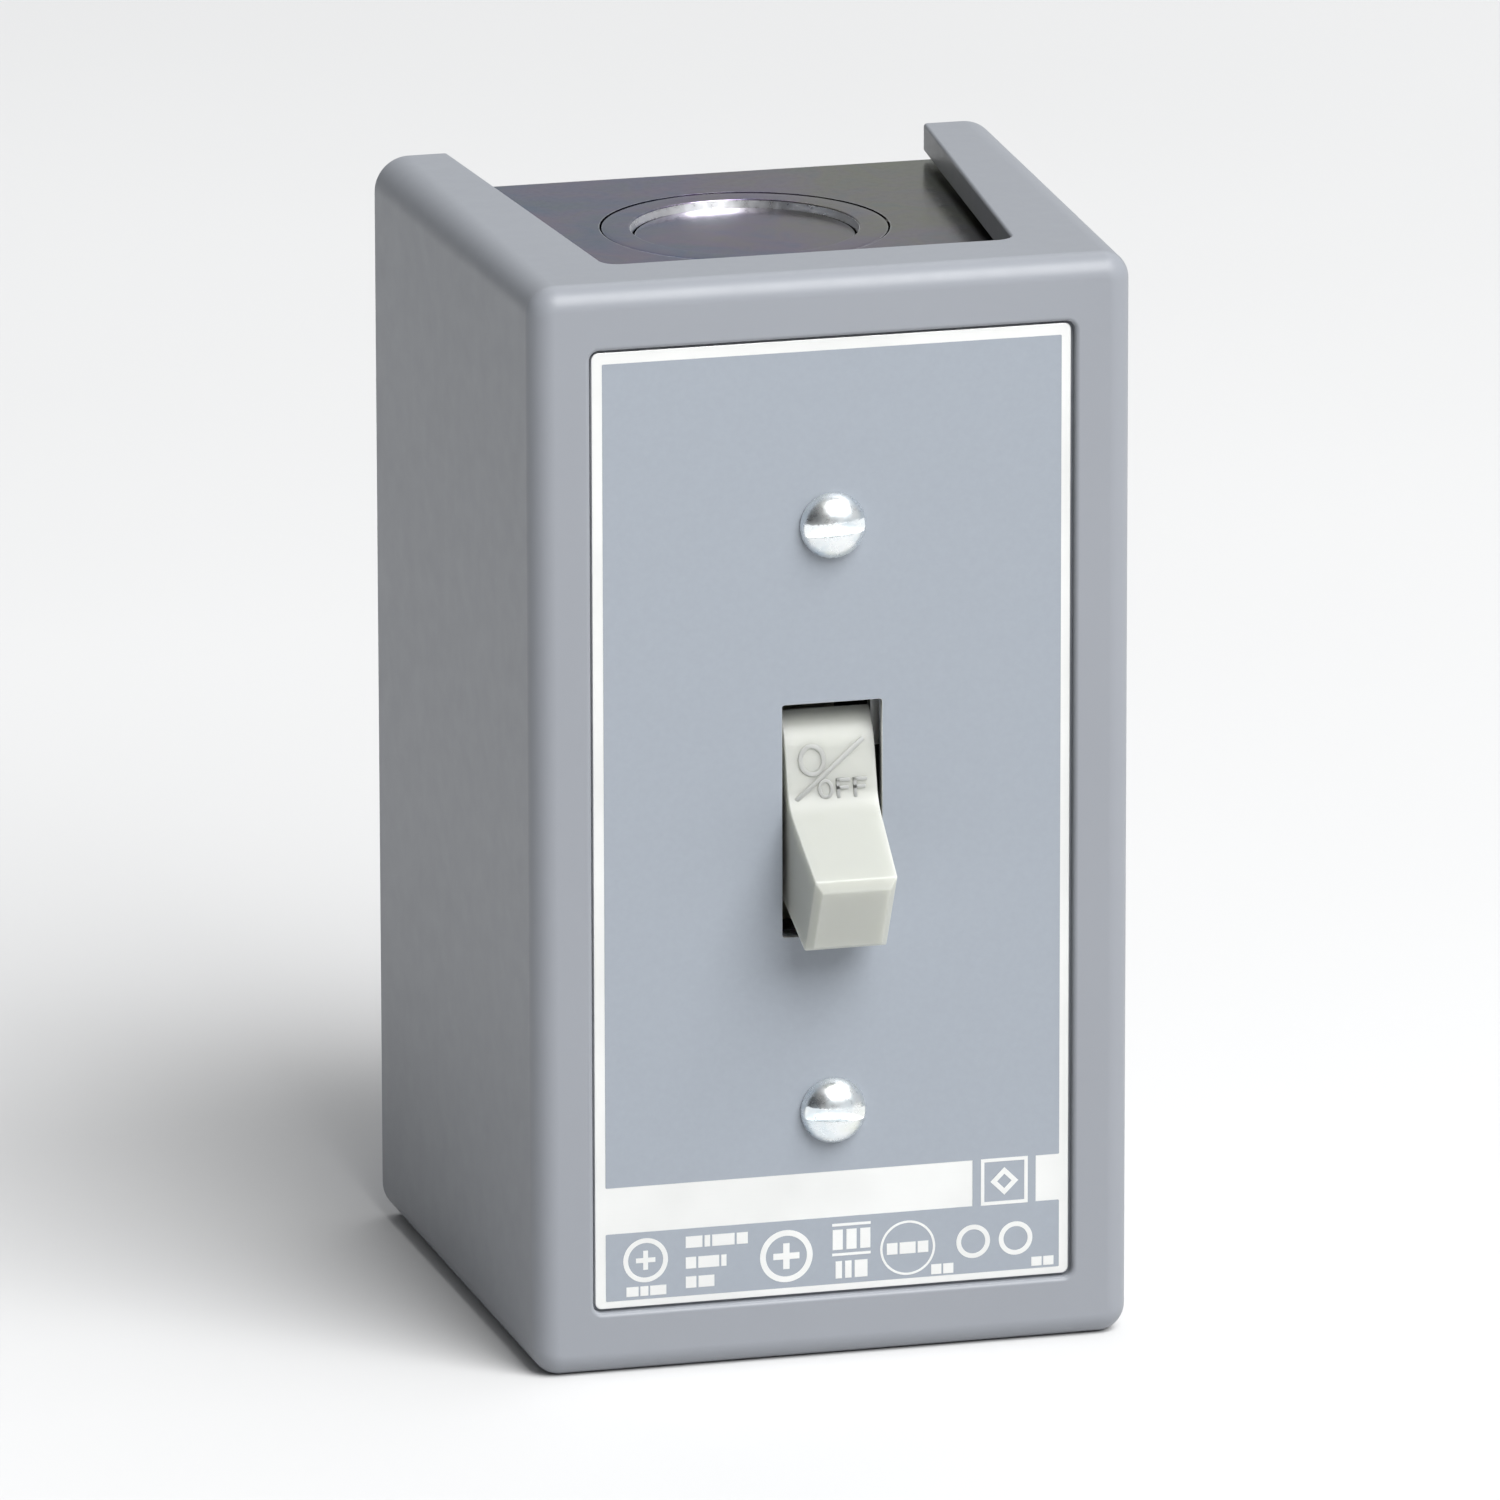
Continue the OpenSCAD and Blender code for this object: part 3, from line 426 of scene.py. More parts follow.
def brushed(name, colour, roughness, along=(0.02, 1.0, 1.0), depth=0.25):
    """Metal brushed along one axis: long scratches in gloss and relief."""
    n = Nodes(name)
    lines = n.noise(6.0, detail=4.0, stretch=along)
    broad = n.noise(0.08, detail=2.0)
    n.set(Metallic=1.0,
          Base_Color=n.mix(n.span(broad, 0.0, 1.0), shade(colour, 0.94), shade(colour, 1.04)),
          Roughness=n.span(lines, roughness - 0.08, roughness + 0.10))
    n.bump(lines, depth, 0.01)
    return n.material


def plated(name, colour, tints, roughness=0.2, mottle=0.25, relief=0.1):
    """Plated metal: a base colour with soft tinted clouds, light dents and bright worn edges."""
    n = Nodes(name)
    clouds = n.noise(mottle, detail=3.0, distortion=0.6)
    rubbed = n.edge_mask(0.25)
    body = n.mix(0.65, colour, n.ramp(clouds, tints))
    n.set(Metallic=1.0, Base_Color=n.mix(rubbed, body, shade(colour, 1.12)),
          Roughness=n.less(n.span(n.noise(1.1, detail=4.0), roughness - 0.04, roughness + 0.08),
                           rubbed, 0.05))
    n.bump(n.noise(0.9, detail=3.0), relief, 0.02)
    return n.material


GREY = (0.240, 0.253, 0.278)
FIELD_GREY = (0.263, 0.290, 0.328)
IVORY = (0.430, 0.440, 0.406)

cover_plastic = moulded("cover_plastic", GREY, 0.40)
cover_shader = cover_plastic.node_tree.nodes["Principled BSDF"]
cover_shader.inputs["Specular IOR Level"].default_value = 0.42
plate_ink = ink("plate_ink", FIELD_GREY)
plate_metal = brushed("plate_metal", (0.88, 0.885, 0.87), 0.42, along=(0.05, 1.0, 1.0))
ivory_plastic = moulded("ivory_plastic", IVORY, 0.46, grain=0.7)
ivory_shader = ivory_plastic.node_tree.nodes["Principled BSDF"]
ivory_shader.inputs["Subsurface Weight"].default_value = 0.8
ivory_shader.inputs["Subsurface Radius"].default_value = (4.0, 4.0, 3.6)
ivory_shader.inputs["Subsurface Scale"].default_value = MM
zinc = plated("bright_zinc", (0.82, 0.85, 0.86),
              [(0.3, (0.66, 0.76, 0.82)), (0.5, (0.92, 0.94, 0.94)), (0.7, (0.86, 0.88, 0.78))],
              roughness=0.27)
sheared_zinc = plated("sheared_zinc", (0.90, 0.91, 0.92),
                      [(0.3, (0.82, 0.84, 0.88)), (0.7, (0.95, 0.95, 0.93))], roughness=0.30)
strap_zinc = plated("strap_zinc", (0.84, 0.86, 0.88),
                    [(0.3, (0.70, 0.76, 0.82)), (0.7, (0.90, 0.90, 0.86))], roughness=0.34)
phenolic = moulded("phenolic", (0.022, 0.022, 0.024), 0.34, grain=1.4)
nylon = moulded("nylon", (0.70, 0.66, 0.55), 0.46)
copper = plated("copper_strip", (0.72, 0.38, 0.22),
                [(0.3, (0.58, 0.26, 0.16)), (0.7, (0.84, 0.52, 0.34))], roughness=0.26)
brass = plated("brass_parts", (0.76, 0.56, 0.24),
               [(0.3, (0.64, 0.44, 0.18)), (0.7, (0.86, 0.70, 0.36))], roughness=0.24)
silver = plated("silver_tips", (0.82, 0.82, 0.80),
                [(0.3, (0.70, 0.68, 0.64)), (0.7, (0.92, 0.92, 0.92))], roughness=0.28)
spring_steel = brushed("spring_steel", (0.50, 0.51, 0.53), 0.28, along=(1.0, 1.0, 0.05))
green_dye = plated("green_dye", (0.05, 0.30, 0.12),
                   [(0.3, (0.03, 0.22, 0.08)), (0.7, (0.10, 0.42, 0.18))], roughness=0.27)


def chromate():
    """Dark chromate over zinc on the folded sheet: clouds of blue, violet and olive."""
    n = Nodes("chromate_steel")
    separate = n.tree.nodes.new("ShaderNodeSeparateXYZ")
    n.link(n.coords, separate.inputs["Vector"])
    drift = n.span(n.noise(0.05, detail=2.0, distortion=1.0), -0.22, 0.22)
    across = n.tree.nodes.new("ShaderNodeMath")
    across.operation = "ADD"
    n.link(n.span(separate.outputs["X"], 0.1, 0.9, -27 * MM, 27 * MM), across.inputs[0])
    n.link(drift, across.inputs[1])
    bands = n.ramp(across.outputs["Value"],
                   [(0.08, (0.06, 0.13, 0.21)), (0.24, (0.11, 0.14, 0.25)),
                    (0.40, (0.18, 0.14, 0.24)), (0.58, (0.19, 0.17, 0.19)),
                    (0.76, (0.19, 0.19, 0.14)), (0.95, (0.18, 0.20, 0.11))])
    cloud = n.noise(0.16, detail=4.0, distortion=1.4)
    stains = n.ramp(cloud, [(0.34, (0.14, 0.20, 0.28)), (0.48, (0.25, 0.21, 0.28)),
                            (0.58, (0.26, 0.25, 0.21)), (0.68, (0.16, 0.21, 0.26))])
    rubbed = n.edge_mask(0.3)
    n.set(Metallic=1.0, Base_Color=n.mix(rubbed, n.mix(0.30, bands, stains), (0.80, 0.82, 0.84)),
          Roughness=n.less(n.span(n.noise(1.4, detail=4.0), 0.14, 0.24), rubbed, 0.04))
    n.bump(n.noise(0.5, detail=3.0), 0.06, 0.02)
    n.bump(n.noise(7.0, detail=1.0), 0.03, 0.01)
    return n.material


chromate_steel = chromate()

MATERIAL_OF_SLOT = {
    "cover_moulding": cover_plastic, "nameplate_aluminium": plate_metal,
    "zinc_plate": strap_zinc, "chromate_steel": chromate_steel, "ivory_moulding": ivory_plastic,
    "black_phenolic": phenolic, "nylon": nylon, "copper": copper, "brass": brass,
    "silver": silver, "spring_steel": spring_steel, "green_screw": green_dye,
}


# ------------------------------------------------------------------ cover

CORNER_STEPS = 14
EDGE_STEPS = 12
INSIDE_CORNER_R = 1.0
CUTOUT_EDGE_R = 0.35
SLOT_GAP = 0.6
SLOT_CORNER_R = 0.5


def from_front_to_rim(front, back, y):
    """The size at y of something that changes evenly from the cover's front to its rim."""
    share = (y - FRONT_Y) / (RIM_Y - FRONT_Y)
    return front + (back - front) * share


def cover_half_w(y):
    """Half of the cover's width at y."""
    return from_front_to_rim(COVER_FRONT_W, COVER_BACK_W, y) / 2


def cover_outside():
    """The cover's outer form, its front edges rounded into the front face."""
    rings = []
    for i in range(EDGE_STEPS + 1):
        t = math.radians(90 * i / EDGE_STEPS)
        inset = FRONT_EDGE_R * (1 - math.sin(t))
        y = FRONT_Y + FRONT_EDGE_R * (1 - math.cos(t))
        corner_r = from_front_to_rim(FRONT_CORNER_R, BACK_CORNER_R, y)
        rings.append(rounded_ring(cover_half_w(y) - inset, COVER_H / 2 - inset,
                                  corner_r - inset, y, CORNER_STEPS))
    rings.append(rounded_ring(COVER_BACK_W / 2, COVER_H / 2, BACK_CORNER_R, RIM_Y, CORNER_STEPS))
    return loft(rings)


def cover_inside():
    """The room inside the cover, open at the rim."""
    front, back = FRONT_Y + COVER_WALL, RIM_Y + OVERCUT
    return loft([rounded_ring(cover_half_w(y) - COVER_WALL, COVER_H / 2 - COVER_WALL,
                              INSIDE_CORNER_R, y, 6) for y in (front, back)])


def cutout(side):
    """What is cut from an end wall: a trapezium, wider at the rear, with round front corners."""
    y0 = FRONT_Y + CUTOUT_SETBACK
    slope = (CUTOUT_BACK_W - CUTOUT_FRONT_W) / 2 / (RIM_Y - y0)
    lean = math.atan(slope)
    cy = y0 + CUTOUT_CORNER_R
    cx = CUTOUT_FRONT_W / 2 + slope * (cy - y0) - CUTOUT_CORNER_R / math.cos(lean)
    right = arc(cx, cy, CUTOUT_CORNER_R, -90, -math.degrees(lean), 8)
    right.append((CUTOUT_BACK_W / 2 + slope * OVERCUT, RIM_Y + OVERCUT))
    outline = right + [(-x, y) for x, y in reversed(right)]
    low, high = sorted((side * (COVER_H / 2 - COVER_WALL - 0.05),
                        side * (COVER_H / 2 + OVERCUT)))
    return prism(outline, low, high)


def screw_holes(radius, y0, y1):
    """Rods along Y in the places of the two cover screws."""
    return [round_rod(radius, y0, y1, 0, side * SCREW_DZ / 2) for side in (-1, 1)]


def build_cover():
    """The cover: a shell with the cut-outs, the nameplate's pocket, the slot and screw holes."""
    solid = combine(cover_outside(), [cover_inside()], "DIFFERENCE")
    cuts = [cutout(1), cutout(-1),
            rounded_block(PLATE_W + 2 * POCKET_GAP, PLATE_H + 2 * POCKET_GAP,
                          PLATE_CORNER_R + POCKET_GAP, FRONT_Y - OVERCUT, POCKET_Y)]
    solid = combine(solid, cuts, "DIFFERENCE")

    def pocket_rim(edge):
        on_face = all(abs(v.co.y - FRONT_Y) < ON_FACE for v in edge.verts)
        normals = sorted(abs(f.normal.y) for f in edge.link_faces)
        return on_face and normals[0] < 0.2 and normals[1] > 0.98

    round_edges(solid, pocket_rim, POCKET_ROLL, 6)

    def cutout_or_rim(edge):
        middle = (edge.verts[0].co + edge.verts[1].co) / 2
        behind = middle.y > FRONT_Y + CUTOUT_SETBACK - 0.5
        return behind and sharp(edge) and max(abs(v.co.y) for v in edge.verts) < abs(FRONT_Y) - 5

    round_edges(solid, cutout_or_rim, CUTOUT_EDGE_R, 3)
    inside_y = FRONT_Y + COVER_WALL + OVERCUT
    holes = [rounded_block(SLOT_W + SLOT_GAP, SLOT_H + SLOT_GAP, SLOT_CORNER_R, FRONT_Y, inside_y)]
    holes += screw_holes(SCREW_HOLE_R, FRONT_Y, inside_y)
    solid = combine(solid, holes, "DIFFERENCE")
    finish_mesh("cover_shell", solid, "enclosure", cover_plastic, ["cover"])


# ------------------------------------------------------------------ nameplate

FIELD_LEFT = PLATE_LOW.x + 1.10
FIELD_RIGHT = PLATE_HIGH.x - 1.00
FIELD_TOP = PLATE_HIGH.z - 1.20
PANEL_BOTTOM = PLATE_LOW.z + 0.75
PANEL_TOP = PANEL_BOTTOM + 7.0
FIELD_BOTTOM = PANEL_TOP + 4.8
BADGE_LEFT, BADGE_RIGHT = 14.48, 21.02
INK_T = 0.03
PRINT_T = 0.02
PRINT_SINK = 0.005

# Printed signs, in millimetres in X and Z: rings by centre, radius and stroke; crosses by centre,
# half length and half stroke; words by x0, x1, z0, z1 and the shares of their blocks.
PRINTED_RINGS = ((-19.27, -44.35, 2.30, 0.50), (-4.78, -45.08, 2.72, 0.60),
                 (7.76, -45.20, 2.85, 0.24), (14.55, -45.08, 1.75, 0.50),
                 (18.95, -45.08, 1.75, 0.50))
PRINTED_CROSSES = ((-19.27, -44.35, 1.0, 0.25), (-4.78, -45.08, 1.35, 0.33))
PRINTED_WORDS = ((-21.25, -17.15, -48.05, -47.05, (3, 2, 4)),
                 (-15.15, -8.75, -43.42, -42.22, (3, 1, 4, 2)),
                 (-15.15, -10.95, -45.58, -44.38, (2, 4, 1)),
                 (-15.15, -12.20, -47.60, -46.40, (2, 3)),
                 (0.0, 3.9, -44.85, -42.75, (1, 1, 1)),
                 (0.3, 3.6, -47.85, -46.05, (1, 1, 2)),
                 (5.6, 9.9, -45.80, -44.60, (2, 3, 2)),
                 (10.2, 12.5, -48.20, -47.15, (1, 1)),
                 (20.6, 22.9, -48.15, -47.20, (1, 1)))
BADGE_X, BADGE_HALF, BADGE_STROKE = 17.77, 2.43, 0.36
DIAMOND_HALF, DIAMOND_HOLE_HALF = 1.45, 0.75


def build_nameplate():
    """The bare metal plate in the cover's pocket, its front edges eased."""
    plate = rounded_block(PLATE_W, PLATE_H, PLATE_CORNER_R, PLATE_FACE_Y, POCKET_Y)
    front, back = PLATE_FACE_Y - OVERCUT, POCKET_Y + OVERCUT
    holes = [rounded_block(SLOT_W, SLOT_H, 0.25, front, back, steps=4)]
    plate = combine(plate, holes + screw_holes(SCREW_HOLE_R, front, back), "DIFFERENCE")

    def face_edge(edge):
        return all(abs(v.co.y - PLATE_FACE_Y) < ON_FACE for v in edge.verts) and sharp(edge)

    round_edges(plate, face_edge, 0.10, 3)
    finish_mesh("nameplate_sheet", plate, "enclosure", plate_metal,
                ["nameplate"])


def panel_between(x0, x1, z0, z1, y0, y1):
    """A printed panel with slightly round corners."""
    return rounded_block(x1 - x0, z1 - z0, 0.12, y0, y1, steps=3, x=(x0 + x1) / 2,
                         z=(z0 + z1) / 2)


def build_ink():
    """The printed fields: the large one round the toggle, the badge and the bottom panel."""
    y0, y1 = PLATE_FACE_Y - INK_T, PLATE_FACE_Y + 0.01
    field = panel_between(FIELD_LEFT, FIELD_RIGHT, FIELD_BOTTOM, FIELD_TOP, y0, y1)
    field = combine(field, [
        panel_between(FIELD_LEFT, FIELD_RIGHT, PANEL_BOTTOM, PANEL_TOP, y0, y1),
        block(BADGE_LEFT, BADGE_RIGHT, y0, y1, PANEL_TOP - 0.3, FIELD_BOTTOM + 0.3)], "UNION")
    front, back = y0 - OVERCUT, y1 + OVERCUT
    cuts = [rounded_block(SLOT_W + 0.1, SLOT_H + 0.1, 0.3, front, back, steps=4)]
    field = combine(field, cuts + screw_holes(SCREW_HOLE_R + 0.05, front, back), "DIFFERENCE")
    finish_mesh("nameplate_print", field, "enclosure", plate_ink,
                weighted=False)


def on_ink(x, z, height):
    """The point at x and z, at a height over the printed ink."""
    return (x, PLATE_FACE_Y - INK_T - height, z)


def outline_mark(bm, outer, inner=None):
    """A flat mark on the ink from its outline, or from two outlines if it is a ring."""
    raise_outline(bm, on_ink, PRINT_T, -PRINT_SINK, outer, inner)


def bar_between(x0, x1, z0, z1):
    """Corners of an upright rectangle."""
    return [(x0, z0), (x1, z0), (x1, z1), (x0, z1)]


def square(cx, cz, half):
    """Corners of a square round its middle."""
    return bar_between(cx - half, cx + half, cz - half, cz + half)


def diamond(cx, cz, half):
    """Corners of a square that stands on one of them."""
    return [(cx - half, cz), (cx, cz - half), (cx + half, cz), (cx, cz + half)]


def word(bm, x0, x1, z0, z1, shares):
    """A word's place taken by plain blocks, their widths in the given shares."""
    gap = (z1 - z0) * 0.18
    unit = (x1 - x0 - gap * (len(shares) - 1)) / sum(shares)
    x = x0
    for share in shares:
        outline_mark(bm, bar_between(x, x + unit * share, z0, z1))
        x += unit * share + gap


def build_plate_marks():
    """Plain signs in the places of the printed ones: rings, bars and a framed square."""
    bm = bmesh.new()
    for x, z, radius, stroke in PRINTED_RINGS:
        outline_mark(bm, circle(x, z, radius), circle(x, z, radius - stroke))
    for x, z, half, half_stroke in PRINTED_CROSSES:
        outline_mark(bm, bar_between(x - half, x + half, z - half_stroke, z + half_stroke))
        for side in (-1, 1):
            outline_mark(bm, bar_between(x - half_stroke, x + half_stroke,
                                         *sorted((z + side * half_stroke, z + side * half))))
    for z in (-42.25, -45.35):
        outline_mark(bm, bar_between(-0.05, 3.93, z - 0.14, z + 0.14))
    for word_place in PRINTED_WORDS:
        word(bm, *word_place)
    badge_z = (PANEL_TOP + FIELD_BOTTOM) / 2
    outline_mark(bm, square(BADGE_X, badge_z, BADGE_HALF),
                 square(BADGE_X, badge_z, BADGE_HALF - BADGE_STROKE))
    outline_mark(bm, diamond(BADGE_X, badge_z, DIAMOND_HALF),
                 diamond(BADGE_X, badge_z, DIAMOND_HOLE_HALF))
    finish_mesh("nameplate_marks", bm, "enclosure", plate_metal,
                weighted=False)


# ------------------------------------------------------------------ toggle handle

ROOT_U, ROOT_W = 6.65, 5.2
WING_U, WING_W = 2.9, 9.4
CREASE_ROUND_TIP, CREASE_ROUND_WING = 2.2, 1.5
HANDLE_EDGE_R = 0.14
TIP_BEVEL = 0.75
TIP_SIDE_BEVEL = 0.7
TIP_W = 4.65
TIP_FACE_W = 3.7
TIP_U = 17.7
HANDLE_W = HANDLE_HIGH.x - HANDLE_LOW.x
TIP_HANDLE_W = 8.4
FLAT_R = 3.3
CAM_CUT_DEPTH = 3.0
PIN_R = 1.65
TAIL_REACH, TAIL_R, TAIL_NECK, TAIL_W = 7.0, 1.5, 0.9, 4.0


def lever_matrix():
    """From the handle's frame (u to the tip, w across it, x along the pin) to the part's."""
    swap = Matrix(((0, 0, 1, 0), (-1, 0, 0, 0), (0, 1, 0, 0), (0, 0, 0, 1)))
    return Matrix.Translation(PIVOT) @ Matrix.Rotation(math.radians(HALF_THROW), 4, "X") @ swap


def handle_half_outline(hub_r):
    """The handle's side from the middle of its tip to the inside of a wing, as (u, w)."""
    crease = Vector((ROOT_U, ROOT_W))
    shoulder = Vector((TIP_U - TIP_BEVEL, TIP_W))
    wing = Vector((WING_U, WING_W))
    before = crease + (shoulder - crease).normalized() * CREASE_ROUND_TIP
    after = crease + (wing - crease).normalized() * CREASE_ROUND_WING
    half = [(TIP_U, TIP_FACE_W), tuple(shoulder)] + quadratic(before, crease, after, 8)
    half += quadratic(wing, (1.4, 11.0), (-0.95, 11.4), 10)
    return half + [(-2.2, 9.9), (1.2, 7.9), (4.4, 4.2), (1.4, hub_r - 0.9)]


def handle_half_width(u):
    """Half of the handle's width at u: it narrows from the crease to the tip."""
    shoulder = TIP_U - TIP_BEVEL
    if u <= ROOT_U:
        return HANDLE_W / 2
    if u <= shoulder:
        share = (u - ROOT_U) / (shoulder - ROOT_U)
        return (HANDLE_W + (TIP_HANDLE_W - HANDLE_W) * share) / 2
    return TIP_HANDLE_W / 2 - TIP_SIDE_BEVEL * (u - shoulder) / TIP_BEVEL


def build_handle():
    """The lever with its wings, hub, two-flat cam, tail and pin bore."""
    hub_r = FLAT_R / math.cos(math.radians(HALF_THROW))
    half = handle_half_outline(hub_r)
    body = prism(half + [(u, -w) for u, w in reversed(half)], -HANDLE_W / 2, HANDLE_W / 2)
    for u in (ROOT_U, TIP_U - TIP_BEVEL):
        bmesh.ops.bisect_plane(body, geom=[*body.verts, *body.edges, *body.faces], dist=0.001,
                               plane_co=(u, 0, 0), plane_no=(1, 0, 0))
    for vert in body.verts:
        vert.co.z *= handle_half_width(vert.co.x) / (HANDLE_W / 2)
    hub = prism(circle(0, 0, hub_r - 0.05, 24), -HANDLE_W / 2, HANDLE_W / 2)
    neck = math.degrees(math.asin(TAIL_NECK / TAIL_R))
    tail = prism(arc(-TAIL_REACH, 0, TAIL_R, neck, 360 - neck, 18)
                 + [(0, -TAIL_NECK), (0, TAIL_NECK)], -TAIL_W / 2, TAIL_W / 2)
    handle = combine(body, [hub, tail], "UNION")
    flats = []
    for side in (-1, 1):
        for z0, z1 in ((TAIL_W / 2 + 0.01, HANDLE_W), (-HANDLE_W, -TAIL_W / 2 - 0.01)):
            flat = block(-FLAT_R - CAM_CUT_DEPTH, -FLAT_R, -hub_r * 0.52, hub_r * 0.52, z0, z1)
            bmesh.ops.rotate(flat, cent=(0, 0, 0), verts=flat.verts,
                             matrix=Matrix.Rotation(math.radians(side * HALF_THROW), 3, "Z"))
            flats.append(flat)
    bore = prism(circle(0, 0, PIN_R, 36), -HANDLE_W, HANDLE_W)
    handle = combine(handle, [*flats, bore], "DIFFERENCE")

    def outer_edge(edge):
        """Sharp edges of the lever and its wings, clear of the hub and the bore."""
        middle = (edge.verts[0].co + edge.verts[1].co) / 2
        return middle.x > 0.5 and middle.xy.length > 6.2 and sharp(edge, 28.0)

    round_edges(handle, outer_edge, HANDLE_EDGE_R, 3)
    bmesh.ops.transform(handle, matrix=lever_matrix(), verts=handle.verts)
    finish_mesh("toggle_lever", handle, "toggle", ivory_plastic,
                ["toggle_handle"], smooth_angle=26.0)


def ring_mark(cx, cs, half_w, half_h, stroke, steps=40):
    """An oval ring drawn on the wing: (outer, inner) outlines in x and s."""
    return (oval(cx, cs, half_w, half_h, steps),
            oval(cx, cs, half_w - stroke, half_h - stroke, steps))


def bar_mark(x0, s0, x1, s1, stroke):
    """A straight stroke between two points."""
    along = Vector((x1 - x0, s1 - s0)).normalized() * stroke / 2
    across = Vector((-along.y, along.x))
    a, b = Vector((x0, s0)) - along, Vector((x1, s1)) + along
    return [tuple(p) for p in (a + across, a - across, b - across, b + across)]


def letter_f(x, s, w, h, stroke):
    """The bars of an F in a box w wide and h high."""
    half = stroke / 2
    return [bar_mark(x + half, s + half, x + half, s + h - half, stroke),
            bar_mark(x + half, s + h - half, x + w - half, s + h - half, stroke),
            bar_mark(x + half, s + h * 0.53, x + w * 0.86 - half, s + h * 0.53, stroke)]


def letter_n(x, s, w, h, stroke):
    """The bars of an N in a box w wide and h high."""
    half = stroke / 2
    return [bar_mark(x + half, s + half, x + half, s + h - half, stroke),
            bar_mark(x + w - half, s + half, x + w - half, s + h - half, stroke),
            bar_mark(x + half, s + h - half, x + w - half, s + half, stroke)]


MARK_RAISE = 0.16
MARK_SINK = 0.25
MARK_SPAN = 7.05
MARK_EDGE_R = 0.07
MARK_STROKE = 0.36
SLASH_STROKE = 0.46


def build_marks(name, rings, bars, side):
    """Raised marks on a wing. side is 1 for the upper wing and -1 for the lower one, whose marks
    start from its far end, so that they read upright when the toggle is up."""
    start = Vector((ROOT_U, ROOT_W))
    along = (Vector((WING_U, WING_W)) - start).normalized()
    out = Vector((along.y, -along.x))
    bm = bmesh.new()

    def place(x, s, lift):
        reach = s if side > 0 else MARK_SPAN - s
        at = start + along * reach + out * lift
        return (at.x, side * at.y, x)

    for outer, inner in rings:
        raise_outline(bm, place, MARK_RAISE, -MARK_SINK, outer, inner)
    for bar in bars:
        raise_outline(bm, place, MARK_RAISE, -MARK_SINK, bar)
    round_edges(bm, lambda edge: sharp(edge, 40.0), MARK_EDGE_R, 2)
    bmesh.ops.transform(bm, matrix=lever_matrix(), verts=bm.verts)
    finish_mesh(name, bm, "toggle", ivory_plastic, weighted=False)


def build_toggle_marks():
    """OFF with a struck ring on the upper wing, ON with a bar on the lower one."""
    slash = bar_mark(-3.65, 0.75, 3.25, 6.3, SLASH_STROKE)
    off_rings = [ring_mark(-1.95, 4.55, 1.42, 1.62, SLASH_STROKE),
                 ring_mark(-0.72, 1.60, 0.80, 1.0, MARK_STROKE)]
    off_bars = [slash, *letter_f(0.38, 0.60, 1.45, 2.0, MARK_STROKE),
                *letter_f(2.12, 0.60, 1.45, 2.0, MARK_STROKE)]
    build_marks("toggle_mark_off", off_rings, off_bars, 1)
    on_rings = [ring_mark(0.35, 1.60, 0.90, 1.0, MARK_STROKE)]
    on_bars = [bar_mark(-1.95, 3.1, -1.95, 6.1, 0.50), slash,
               *letter_n(1.60, 0.60, 1.6, 2.0, MARK_STROKE)]
    build_marks("toggle_mark_on", on_rings, on_bars, -1)


# ------------------------------------------------------------------ cover screws

HEAD_STEPS = 72
CROWN_STEPS = 14
HEAD_RIM_H = 0.18
HEAD_RIM_IN = 0.12
HEAD_FULLNESS = 0.92
DRIVER_SLOT_SHARE = 0.55


def build_screw(name, side, turn):
    """A round-head slotted screw: a turned head with a milled slot, and its shank."""
    seat, crown_y = PLATE_FACE_Y, PLATE_FACE_Y - SCREW_HEAD_H
    profile = [(SCREW_HEAD_R - HEAD_RIM_IN, 0.0), (SCREW_HEAD_R, HEAD_RIM_H)]
    for i in range(1, CROWN_STEPS):
        a = math.radians(90 * i / CROWN_STEPS)
        profile.append((SCREW_HEAD_R * math.cos(a) ** HEAD_FULLNESS,
                        HEAD_RIM_H + (SCREW_HEAD_H - HEAD_RIM_H) * math.sin(a)))
    bm = bmesh.new()
    rows = [[bm.verts.new((x, seat - height, z)) for x, z in circle(0, 0, radius, HEAD_STEPS)]
            for radius, height in profile]
    crown = bm.verts.new((0, crown_y, 0))
    for row, following in zip(rows, rows[1:]):
        join_rows(bm, row, following)
    for i in range(HEAD_STEPS):
        bm.faces.new((rows[-1][i], rows[-1][(i + 1) % HEAD_STEPS], crown))
    bm.faces.new(rows[0])
    slot = block(-SCREW_HEAD_R - OVERCUT, SCREW_HEAD_R + OVERCUT, crown_y - OVERCUT,
                 crown_y + SCREW_HEAD_H * DRIVER_SLOT_SHARE, -DRIVER_SLOT_W / 2, DRIVER_SLOT_W / 2)
    head = combine(bm, [slot], "DIFFERENCE")
    round_edges(head, lambda edge: sharp(edge, 30.0), 0.06, 2)
    shank = round_rod(SCREW_R, seat - 0.3, SCREW_HIGH.y, 0, 0)
    head = combine(head, [shank], "UNION")
    bmesh.ops.rotate(head, cent=(0, 0, 0), verts=head.verts,
                     matrix=Matrix.Rotation(math.radians(turn), 3, "Y"))
    bmesh.ops.translate(head, vec=(0, 0, side * SCREW_DZ / 2), verts=head.verts)
    finish_mesh(name, head, "enclosure", zinc, ["cover_screws"], smooth_angle=30.0)


# ------------------------------------------------------------------ knockouts

KO_Y = -24.2
KO_HOLE_R = 14.6
KO_RING_IN_R = 11.3
KO_GAP = 0.18
KO_DROP = 0.8
KO_TIE_W = 2.0
STEEL_T = 1.2
SHEAR_LEAN = 0.22
STEEL_TOP = box_mm("back_box")[1].z


